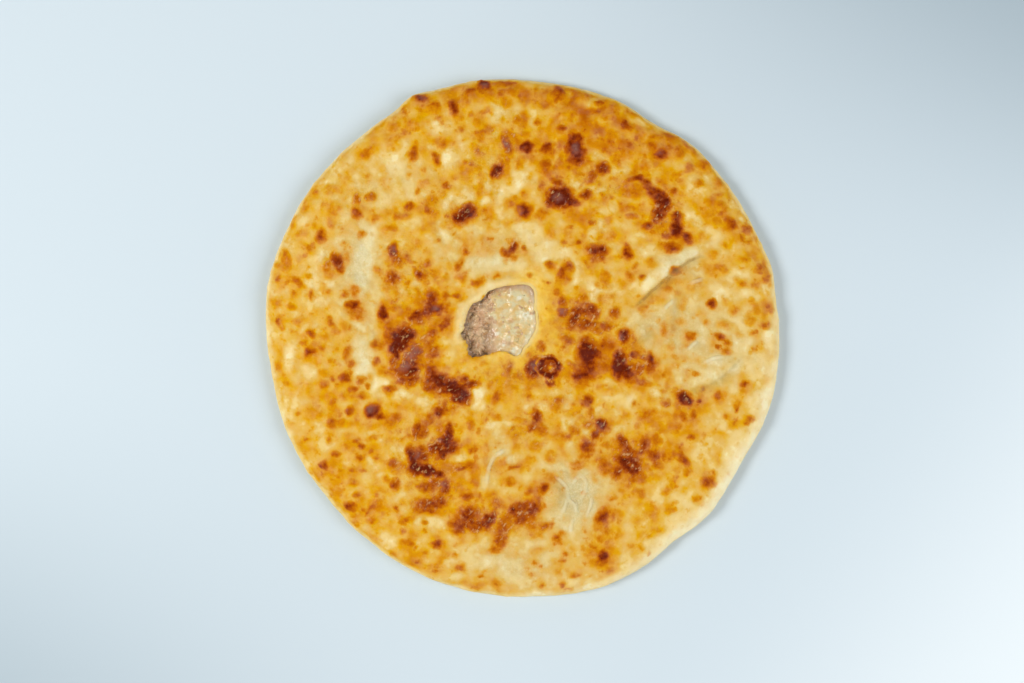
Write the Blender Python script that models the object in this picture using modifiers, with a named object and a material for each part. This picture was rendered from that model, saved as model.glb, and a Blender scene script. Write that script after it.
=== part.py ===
"""A round, flat, filled pie: one sheet of dough closed round a filling, with a torn vent in its top.

Run it with: blender --background --python part.py
Metres, +Z up. The origin is the middle of the underside, on what the pie stands on.
"""

import math

import bmesh
import bpy
from mathutils import Vector, noise

MM = 0.001

# Driving dimensions of the pie
RIM_RADIUS = 157.8 * MM  # widest part of the rim, before its swells and dents
PIE_HEIGHT = 16.0 * MM  # underside to the top sheet
WIDEST_LEVEL = 6.0 * MM  # height of the widest line of the rim
SHOULDER_WIDTH = 20.0 * MM  # how far in the top sheet starts to round down
FOOT_INSET = 5.0 * MM  # the underside is that much smaller than the rim
CROWN = 1.0 * MM  # the top sheet stands that much higher half way out
DOUGH = 3.4 * MM  # thickness of the rolled sheet
CLOSED_RIM = 11.0 * MM  # solid dough outside the filling, where the sheet was closed
GAP = 0.3 * MM  # between the filling and the dough

# The vent, torn in the top sheet a little off the middle
VENT_RADIUS = 21.0 * MM
VENT_CENTRE = Vector((-15.0 * MM, 9.7 * MM, 0.0))
LIP_WIDTH = 4.0 * MM
LIP_RISE = 0.8 * MM
SINK = 2.0 * MM  # how far the filling has sunk below the sheet inside the vent

# Where an outline leaves its round shape: (degrees, half width in degrees, metres outwards)
RIM_SWELLS = (
    (16, 4, 1.6 * MM),
    (50, 8, 1.0 * MM),
    (58, 6, -3.0 * MM),
    (106, 17, 3.8 * MM),
    (114, 4, 3.0 * MM),
    (145, 20, 1.9 * MM),
    (168, 9, 1.5 * MM),
    (188, 12, -2.2 * MM),
    (218, 22, -3.5 * MM),
    (287, 10, 1.8 * MM),
    (307, 6, -2.8 * MM),
    (330, 10, -3.5 * MM),
)
VENT_SWELLS = (
    (0, 30, 2.2 * MM),
    (48, 20, 8.8 * MM),
    (78, 12, 1.4 * MM),
    (125, 16, -3.6 * MM),
    (163, 22, -1.6 * MM),
    (199, 7, 3.0 * MM),
    (230, 14, 4.6 * MM),
    (272, 20, -4.2 * MM),
    (303, 9, 2.6 * MM),
)

# Folds in the top sheet: (start x, start y, end x, end y, height)
CREASES = (
    (71 * MM, 22 * MM, 111 * MM, 54 * MM, 1.7 * MM),
    (100 * MM, -30 * MM, 135 * MM, -8 * MM, 1.2 * MM),
    (87 * MM, 16 * MM, 111 * MM, 37 * MM, 0.6 * MM),
    (18 * MM, -82 * MM, 24 * MM, -108 * MM, 0.8 * MM),
)
CREASE_WIDTH = 7.0 * MM

# Lumps of filling under the top sheet
LUMP_LENGTH = 34.0 * MM
LUMP_HEIGHT = 1.3 * MM
CHUNK_LENGTH = 9.0 * MM  # chopped filling that shows in the vent
CHUNK_HEIGHT = 1.4 * MM

# How finely the solids are faceted
STEPS_ROUND = 96
TOP_RINGS = 12
SHOULDER_RINGS = 4
FOOT_RINGS = 2
SHEET_RINGS = 6
CAVITY_EDGE_RINGS = 3
VENT_RINGS = 6

CRUST_COLOUR = (0.83, 0.58, 0.23, 1.0)
FILLING_COLOUR = (0.62, 0.52, 0.38, 1.0)


def smooth_step(low, high, value):
    """0 below low, 1 above high, and a smooth ramp between them."""
    share = min(1.0, max(0.0, (value - low) / (high - low)))
    return share * share * (3.0 - 2.0 * share)


def outline_radius(base, swells, angle):
    """Radius of an uneven round outline at an angle."""
    radius = base
    for degrees, half_width, outwards in swells:
        away = (math.degrees(angle) - degrees + 180.0) % 360.0 - 180.0
        radius += outwards * math.exp(-((away / half_width) ** 2))
    return radius


def crease_height(place):
    """Height of the folds at a place: a soft rise on the upper left side, and a steep drop on the other."""
    height = 0.0
    for start_x, start_y, end_x, end_y, rise in CREASES:
        start = Vector((start_x, start_y, 0.0))
        run = Vector((end_x, end_y, 0.0)) - start
        along = (place - start).dot(run) / run.length_squared
        across = (place - start).cross(run).z / run.length
        fade = smooth_step(-0.15, 0.25, along) * smooth_step(1.15, 0.75, along)
        width = CREASE_WIDTH if across < 0.0 else 0.35 * CREASE_WIDTH
        height += rise * fade * math.exp(-((across / width) ** 2))
    return height


def lump_height(place):
    """Height that the lumps of filling lift the top sheet."""
    wide = noise.noise(place / LUMP_LENGTH)
    narrow = noise.noise(place * (2.3 / LUMP_LENGTH) + Vector((5.0, 3.0, 0.0)))
    return LUMP_HEIGHT * (wide + 0.45 * narrow)


def baked_place(point, creased):
    """Where a point of the even, turned pie lies on the uneven, baked one."""
    turned_radius = math.hypot(point.x, point.y)
    angle = math.atan2(point.y, point.x)
    way = Vector((math.cos(angle), math.sin(angle), 0.0))
    vent_edge = outline_radius(VENT_RADIUS, VENT_SWELLS, angle)
    if turned_radius <= VENT_RADIUS:
        share_out = 0.0
        place = VENT_CENTRE + way * (vent_edge * turned_radius / VENT_RADIUS)
    else:
        share_out = (turned_radius - VENT_RADIUS) / (RIM_RADIUS - VENT_RADIUS)
        rim_edge = outline_radius(RIM_RADIUS, RIM_SWELLS, angle)
        place = (VENT_CENTRE + way * vent_edge).lerp(way * rim_edge, share_out)
    relief = lump_height(place) + CROWN * math.sin(math.pi * share_out)
    if creased:
        relief += crease_height(place)
    near_top = smooth_step(0.25 * PIE_HEIGHT, 0.75 * PIE_HEIGHT, point.z)
    inside_rim = smooth_step(1.0, 0.88, share_out)
    place.z = point.z + relief * near_top * inside_rim
    return place


def chunk_height(place):
    """Sunk, rough top of the chopped filling: level at the edge of the vent, and lower further in."""
    away = place - VENT_CENTRE
    edge = outline_radius(VENT_RADIUS, VENT_SWELLS, math.atan2(away.y, away.x))
    inside = smooth_step(edge, 0.75 * edge, math.hypot(away.x, away.y))
    return inside * (CHUNK_HEIGHT * noise.noise(place / CHUNK_LENGTH) - SINK)


def evenly(first, last, count):
    """count values after first, the last of them at last."""
    return [first + (last - first) * step / count for step in range(1, count + 1)]


def quarter_turns(count):
    """Angles that split a quarter turn in count, without its start."""
    return evenly(0.0, 0.5 * math.pi, count)


def cavity_profile(inset):
    """Turned section of the filled space, from under the vent's edge to the middle of the floor.

    inset moves it inwards: 0 for the dough's wall, GAP for the filling.
    """
    outside = RIM_RADIUS - CLOSED_RIM - inset
    ceiling = PIE_HEIGHT - DOUGH - inset
    floor = DOUGH + inset
    half_depth = 0.5 * (ceiling - floor)
    edge_start = outside - 2.0 * half_depth
    section = [(radius, ceiling) for radius in evenly(VENT_RADIUS, edge_start, SHEET_RINGS)]
    for half in (1.0, -1.0):
        turns = quarter_turns(CAVITY_EDGE_RINGS)
        if half < 0.0:
            turns = [0.5 * math.pi - turn for turn in turns]
        for turn in turns:
            radius = edge_start + 2.0 * half_depth * math.sin(turn)
            section.append((radius, floor + half_depth * (1.0 + half * math.cos(turn))))
    section.append((0.0, floor))
    return section


def crust_profile():
    """Turned section of the dough, from the cavity's floor round the vent and the rim to the underside."""
    section = list(reversed(cavity_profile(0.0)))
    lip_edge = VENT_RADIUS + LIP_WIDTH
    section.append((VENT_RADIUS + 0.1 * LIP_WIDTH, PIE_HEIGHT - DOUGH))
    section.append((VENT_RADIUS, PIE_HEIGHT - 0.45 * DOUGH))
    section.append((VENT_RADIUS + 0.25 * LIP_WIDTH, PIE_HEIGHT + 0.5 * LIP_RISE))
    section.append((VENT_RADIUS + 0.6 * LIP_WIDTH, PIE_HEIGHT + LIP_RISE))
    shoulder_start = RIM_RADIUS - SHOULDER_WIDTH
    section += [(radius, PIE_HEIGHT) for radius in evenly(lip_edge, shoulder_start, TOP_RINGS)]
    for turn in quarter_turns(SHOULDER_RINGS):
        radius = shoulder_start + SHOULDER_WIDTH * math.sin(turn)
        level = WIDEST_LEVEL + (PIE_HEIGHT - WIDEST_LEVEL) * math.cos(turn)
        section.append((radius, level))
    for turn in quarter_turns(FOOT_RINGS):
        radius = RIM_RADIUS - FOOT_INSET * (1.0 - math.cos(turn))
        section.append((radius, WIDEST_LEVEL * (1.0 - math.sin(turn))))
    section.append((0.0, 0.0))
    return section


def filling_profile():
    """Turned section of the filling, from its middle in the vent to its underside."""
    ceiling = PIE_HEIGHT - DOUGH - GAP
    section = [(0.0, ceiling)]
    section += [(radius, ceiling) for radius in evenly(0.0, VENT_RADIUS, VENT_RINGS)]
    return section + cavity_profile(GAP)


def turned_mesh(name, section):
    """Mesh of a section turned once round the Z axis by a Screw modifier."""
    line = bpy.data.meshes.new(name + "_section")
    points = [(radius, 0.0, level) for radius, level in section]
    edges = [(step, step + 1) for step in range(len(section) - 1)]
    line.from_pydata(points, edges, [])
    lathe = bpy.data.objects.new(name + "_lathe", line)
    bpy.context.scene.collection.objects.link(lathe)
    screw = lathe.modifiers.new("Turn", "SCREW")
    screw.steps = STEPS_ROUND
    screw.render_steps = STEPS_ROUND
    screw.use_merge_vertices = True
    screw.merge_threshold = 0.00001
    bpy.context.view_layer.update()
    seen = lathe.evaluated_get(bpy.context.evaluated_depsgraph_get())
    mesh = bpy.data.meshes.new_from_object(seen)
    bpy.data.objects.remove(lathe)
    mesh.name = name
    return mesh


def triangulate(mesh):
    """Cuts every face into triangles, so that the bent quads keep one true shape."""
    shape = bmesh.new()
    shape.from_mesh(mesh)
    bmesh.ops.remove_doubles(shape, verts=shape.verts, dist=0.00001)
    bmesh.ops.triangulate(shape, faces=shape.faces)
    shape.to_mesh(mesh)
    shape.free()


def plain_material(name, colour, roughness):
    """Principled material of one colour."""
    material = bpy.data.materials.new(name)
    material.use_nodes = True
    shader = material.node_tree.nodes["Principled BSDF"]
    shader.inputs["Base Color"].default_value = colour
    shader.inputs["Roughness"].default_value = roughness
    shader.inputs["Metallic"].default_value = 0.0
    return material


def make_crust(collection):
    """The dough envelope: underside, rim, folded top sheet and the lip of the vent."""
    mesh = turned_mesh("crust", crust_profile())
    for vertex in mesh.vertices:
        radius = math.hypot(vertex.co.x, vertex.co.y)
        outer_sheet = vertex.co.z > PIE_HEIGHT - 0.5 * DOUGH or radius > RIM_RADIUS - CLOSED_RIM
        vertex.co = baked_place(vertex.co, outer_sheet)
    triangulate(mesh)
    mesh.shade_smooth()
    mesh.set_sharp_from_angle(angle=math.radians(50.0))
    mesh.materials.append(plain_material("baked_dough", CRUST_COLOUR, 0.45))
    crust = bpy.data.objects.new("crust", mesh)
    collection.objects.link(crust)
    return crust


def make_filling(collection):
    """The disc of chopped chicken and cheese that fills the envelope and shows in the vent."""
    mesh = turned_mesh("filling", filling_profile())
    for vertex in mesh.vertices:
        on_top = vertex.co.z > 0.5 * PIE_HEIGHT
        vertex.co = baked_place(vertex.co, False)
        if on_top:
            vertex.co.z += chunk_height(vertex.co)
    triangulate(mesh)
    mesh.shade_smooth()
    mesh.materials.append(plain_material("chicken_and_cheese", FILLING_COLOUR, 0.6))
    filling = bpy.data.objects.new("filling", mesh)
    collection.objects.link(filling)
    return filling


def centre_on_origin(crust, pieces):
    """Moves the pieces sideways, so that the middle of the crust's box is over the origin."""
    for axis in (0, 1):
        values = [vertex.co[axis] for vertex in crust.data.vertices]
        middle = 0.5 * (min(values) + max(values))
        for piece in pieces:
            for vertex in piece.data.vertices:
                vertex.co[axis] -= middle


def main():
    for old in list(bpy.data.objects):
        bpy.data.objects.remove(old)
    collection = bpy.data.collections.new("chicken_and_cheese_pie")
    bpy.context.scene.collection.children.link(collection)
    crust = make_crust(collection)
    filling = make_filling(collection)
    centre_on_origin(crust, [crust, filling])


main()
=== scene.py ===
import math
import random

import bpy
import numpy as np
from mathutils import Euler, Matrix, Vector, noise


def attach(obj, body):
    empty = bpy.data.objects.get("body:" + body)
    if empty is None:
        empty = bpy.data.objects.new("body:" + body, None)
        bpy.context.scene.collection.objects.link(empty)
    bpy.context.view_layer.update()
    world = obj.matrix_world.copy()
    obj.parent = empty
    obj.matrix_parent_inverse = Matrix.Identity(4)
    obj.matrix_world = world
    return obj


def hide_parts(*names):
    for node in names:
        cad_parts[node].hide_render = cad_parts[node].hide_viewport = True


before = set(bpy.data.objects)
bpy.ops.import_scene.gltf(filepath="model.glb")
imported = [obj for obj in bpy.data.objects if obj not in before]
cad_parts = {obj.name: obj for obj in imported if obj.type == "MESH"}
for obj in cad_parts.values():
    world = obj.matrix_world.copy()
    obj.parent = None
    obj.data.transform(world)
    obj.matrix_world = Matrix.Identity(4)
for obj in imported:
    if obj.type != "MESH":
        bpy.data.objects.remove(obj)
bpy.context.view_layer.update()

MM = 0.001

# ---- The camera ----
# It looks straight down on the pie from above. In the photograph the middle of the pie's outline
# is a little to the right of the frame's middle and a little above it.
FRAME_WIDTH = 1024
FRAME_MIDDLE = (512.0, 341.5)
PIE_MIDDLE = (522.5, 338.0)
PIXEL = 0.6142 * MM  # one pixel at the widest line of the rim
LENS = 50.0
SENSOR = 36.0
WIDEST_LEVEL = 6.0 * MM

bpy.ops.object.select_all(action="DESELECT")
bpy.ops.object.camera_add(
    location=(
        (FRAME_MIDDLE[0] - PIE_MIDDLE[0]) * PIXEL,
        (PIE_MIDDLE[1] - FRAME_MIDDLE[1]) * PIXEL,
        WIDEST_LEVEL + FRAME_WIDTH * PIXEL * LENS / SENSOR,
    )
)
camera = bpy.context.object
camera.data.lens = LENS
camera.data.sensor_width = SENSOR
bpy.context.scene.camera = camera

# ---- The crust: its shape ----
# One sheet of rolled dough is closed round the filling and pressed flat, and steam leaves through a
# vent torn in its top. The turned form is extruded ring by ring from the hollow's floor, out round
# the hollow, over the vent's lip and the rim to the underside, and then pushed into its uneven shape.
RIM_RADIUS = 157.8 * MM
PIE_HEIGHT = 16.0 * MM
SHOULDER_WIDTH = 20.0 * MM
FOOT_INSET = 5.0 * MM
CROWN = 1.0 * MM
DOUGH = 3.4 * MM
CLOSED_RIM = 11.0 * MM
HUB = 3.0 * MM  # the ring that closes on the middle of the floor and of the underside
VENT_RADIUS = 21.0 * MM
NEAR_LIP = 8.0 * MM  # how far out of the vent's edge the finer rings reach
VENT_CENTRE = (-15.0 * MM, 9.7 * MM)
LIP_ROUND = 1.7 * MM  # how far the torn edge rounds back
LUMP_LENGTH = 34.0 * MM
LUMP_HEIGHT = 1.3 * MM
CRUST_STEPS = 640  # points round each ring
TOP_RINGS = 84  # rings from near the lip out to the shoulder
NOTCHED_TOWARDS = 215.0  # the direction in degrees in which the vent's edge is torn in notches

# Where an outline leaves its round shape: degrees, half width in degrees, and outwards
RIM_SWELLS = (
    (16, 4, 1.6 * MM),
    (50, 8, 1.0 * MM),
    (58, 6, -3.0 * MM),
    (106, 17, 3.8 * MM),
    (114, 4, 3.0 * MM),
    (145, 20, 1.9 * MM),
    (168, 9, 1.5 * MM),
    (188, 12, -2.2 * MM),
    (218, 22, -3.5 * MM),
    (287, 10, 1.8 * MM),
    (307, 6, -2.8 * MM),
    (330, 10, -3.5 * MM),
)
VENT_SWELLS = (
    (0, 30, 2.2 * MM),
    (48, 20, 8.8 * MM),
    (78, 12, 1.4 * MM),
    (125, 16, -3.6 * MM),
    (163, 22, -1.6 * MM),
    (199, 7, 3.0 * MM),
    (230, 14, 4.6 * MM),
    (272, 20, -4.2 * MM),
    (303, 9, 2.6 * MM),
)


def evenly(first, last, count):
    """count values after first, the last of them at last."""
    return [first + (last - first) * step / count for step in range(1, count + 1)]


def level_run(level, first, last, count):
    """Part of a section that runs at one level from one radius to another."""
    return [(radius, level) for radius in evenly(first, last, count)]


def smooth_step(low, high, value):
    """0 below low, 1 above high, and a smooth ramp between them. low may be the higher one."""
    share = np.clip((value - low) / (high - low), 0.0, 1.0)
    return share * share * (3.0 - 2.0 * share)


def hump(distance, reach):
    """1 at no distance, falling off smoothly over reach on both sides."""
    return np.exp(-((distance / reach) ** 2))


def turned_from(angle, degrees):
    """How far an angle lies from a number of degrees, between -180 and 180."""
    return (np.degrees(angle) - degrees + 180.0) % 360.0 - 180.0


def outline(base, swells, angle):
    """Radius of an uneven round outline at each angle."""
    radius = np.full_like(angle, base)
    for degrees, half_width, outwards in swells:
        radius += outwards * hump(turned_from(angle, degrees), half_width)
    return radius


def bumps(x, y, length, seed=0.0, z=0.0):
    """Smooth noise between about -1 and 1 at each place, with bumps of a length, which vary by seed."""
    height = np.broadcast_to(z, x.shape) / length + seed
    return np.array([noise.noise(Vector(place)) for place in zip(x / length, y / length, height)])


def warped_place(radius, angle):
    """Where each point of the even, turned pie lies on the baked one, and its share of the way out."""
    vent_edge = outline(VENT_RADIUS, VENT_SWELLS, angle)
    rim_edge = outline(RIM_RADIUS, RIM_SWELLS, angle)
    share_out = (radius - VENT_RADIUS) / (RIM_RADIUS - VENT_RADIUS)
    share_out = np.clip(share_out, 0.0, 1.0)
    inner = vent_edge * np.clip(radius / VENT_RADIUS, 0.0, 1.0)
    reach = inner * (1.0 - share_out) + rim_edge * share_out
    beyond = radius - np.clip(radius, 0.0, RIM_RADIUS)
    x = np.cos(angle) * (reach + beyond) + VENT_CENTRE[0] * (1.0 - share_out)
    y = np.sin(angle) * (reach + beyond) + VENT_CENTRE[1] * (1.0 - share_out)
    return x, y, share_out


def lump_height(x, y):
    """Height that the lumps of filling lift the top sheet."""
    wide = bumps(x, y, LUMP_LENGTH)
    length = LUMP_LENGTH / 2.3
    narrow = bumps(x + 5.0 * length, y + 3.0 * length, length)
    return LUMP_HEIGHT * (wide + 0.45 * narrow)


def sheet_relief(x, y, level, share_out):
    """Height of the crown and the lumps, which fade out downwards and towards the rim."""
    relief = lump_height(x, y) + CROWN * np.sin(math.pi * share_out)
    relief *= smooth_step(0.25 * PIE_HEIGHT, 0.75 * PIE_HEIGHT, level)
    return relief * smooth_step(1.0, 0.88, share_out)


def turned_piece(name, section, steps):
    """Extrudes the section's rings one by one in edit mode, and closes the last one in the middle."""
    bpy.ops.object.select_all(action="DESELECT")
    bpy.ops.mesh.primitive_circle_add(
        vertices=steps, radius=section[0][0], fill_type="TRIFAN", location=(0.0, 0.0, section[0][1])
    )
    piece = bpy.context.object
    piece.name = name
    bpy.ops.object.transform_apply(location=True, rotation=True, scale=True)
    bpy.ops.object.mode_set(mode="EDIT")
    bpy.ops.mesh.select_mode(type="EDGE")
    bpy.ops.mesh.select_all(action="DESELECT")
    bpy.ops.mesh.select_non_manifold()
    for (radius, level), (next_radius, next_level) in zip(section, section[1:]):
        grown = next_radius / radius
        rise = (0.0, 0.0, next_level - level)
        bpy.ops.mesh.extrude_edges_move(TRANSFORM_OT_translate={"value": rise})
        bpy.ops.transform.resize(value=(grown, grown, 1.0), center_override=(0.0, 0.0, next_level))
    bpy.ops.mesh.merge(type="COLLAPSE")
    bpy.ops.mesh.select_all(action="SELECT")
    bpy.ops.mesh.normals_make_consistent(inside=False)
    bpy.ops.object.mode_set(mode="OBJECT")
    bpy.ops.object.shade_smooth()
    return piece


def places_of(piece):
    """The x, y and z of all the piece's points, each as one row of numbers."""
    table = np.empty(len(piece.data.vertices) * 3)
    piece.data.vertices.foreach_get("co", table)
    return table.reshape(-1, 3).T


def normals_of(piece):
    """The direction in which the surface faces at each of the piece's points, as x, y and z."""
    table = np.empty(len(piece.data.vertices) * 3)
    piece.data.vertex_normals.foreach_get("vector", table)
    return table.reshape(-1, 3).T


def move_points(piece, x, y, z):
    """Puts the piece's points at new places."""
    piece.data.vertices.foreach_set("co", np.column_stack((x, y, z)).ravel())
    piece.data.update()


def store(piece, name, values):
    """Keeps a number for each point, for the piece's material to read."""
    attribute = piece.data.attributes.new(name, "FLOAT", "POINT")
    attribute.data.foreach_set("value", np.asarray(values, dtype=np.float32))


def hollow_section(inset):
    """Half the section of the filled space, from the middle of its floor round to its ceiling."""
    ceiling = PIE_HEIGHT - DOUGH - inset
    floor = DOUGH + inset
    half_depth = 0.5 * (ceiling - floor)
    edge_start = RIM_RADIUS - CLOSED_RIM - inset - 2.0 * half_depth
    section = [(HUB, floor)] + level_run(floor, HUB, edge_start, 2)
    for turn in evenly(0.0, math.pi, 5):
        radius = edge_start + 2.0 * half_depth * math.sin(turn)
        section.append((radius, floor + half_depth * (1.0 - math.cos(turn))))
    return section


def crust_section():
    """The dough's whole section: hollow, lip, top sheet, shoulder, foot and underside."""
    section = hollow_section(0.0)
    near_lip = VENT_RADIUS + NEAR_LIP
    top_start = VENT_RADIUS + LIP_ROUND
    shoulder_start = RIM_RADIUS - SHOULDER_WIDTH
    section += level_run(PIE_HEIGHT - DOUGH, section[-1][0], near_lip, 4)
    section += level_run(PIE_HEIGHT - DOUGH, near_lip, top_start, 3)
    for turn in evenly(-0.5 * math.pi, 0.5 * math.pi, 8):
        radius = VENT_RADIUS + LIP_ROUND * (1.0 - math.cos(turn))
        section.append((radius, PIE_HEIGHT - 0.5 * DOUGH * (1.0 - math.sin(turn))))
    section += level_run(PIE_HEIGHT, top_start, near_lip, 8)
    section += level_run(PIE_HEIGHT, near_lip, shoulder_start, TOP_RINGS)
    for turn in evenly(0.0, 0.5 * math.pi, 16):
        radius = shoulder_start + SHOULDER_WIDTH * math.sin(turn)
        section.append((radius, WIDEST_LEVEL + (PIE_HEIGHT - WIDEST_LEVEL) * math.cos(turn)))
    for turn in evenly(0.0, 0.5 * math.pi, 5):
        radius = RIM_RADIUS - FOOT_INSET * (1.0 - math.cos(turn))
        section.append((radius, WIDEST_LEVEL * (1.0 - math.sin(turn))))
    return section + level_run(0.0, section[-1][0], HUB, 12)


crust = turned_piece("pie_crust", crust_section(), CRUST_STEPS)
x, y, z = places_of(crust)
turned_radius = np.hypot(x, y)
angle = np.arctan2(y, x)
level = z
from_vent = turned_radius - VENT_RADIUS

# How far each point takes part in the relief: fully on the sheet's outer side, not in the hollow
# or at the foot
outer = smooth_step(PIE_HEIGHT - DOUGH, PIE_HEIGHT - 0.4 * DOUGH, level)
outer = np.where(turned_radius > RIM_RADIUS - CLOSED_RIM + 0.1 * MM, 1.0, outer)
outer = outer * smooth_step(0.0, 0.15 * PIE_HEIGHT, level)

# The torn edge is ragged: long waves, and short notches at the lower left
notched = hump(turned_from(angle, NOTCHED_TOWARDS), 40.0)
ragged = 0.7 * MM * bumps(np.cos(angle), np.sin(angle), 0.20, 3.0)
ragged += (0.25 + 0.9 * notched) * MM * bumps(np.cos(angle), np.sin(angle), 0.075, 7.0)
x, y, share_out = warped_place(turned_radius + ragged * hump(from_vent, 5.0 * MM), angle)

z = level + sheet_relief(x, y, level, share_out)
middle_x = 0.5 * (x.min() + x.max())
middle_y = 0.5 * (y.min() + y.max())
x = x - middle_x
y = y - middle_y
vent_x = VENT_CENTRE[0] - middle_x
vent_y = VENT_CENTRE[1] - middle_y
move_points(crust, x, y, z)
facing = normals_of(crust)

# ---- The crust: its brown marks ----
# Blisters of dough stood highest in the oven, and its heat browned them first and scorched some.
# The ones that can be told apart are placed one by one, and fine freckles fill in the rest.

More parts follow.
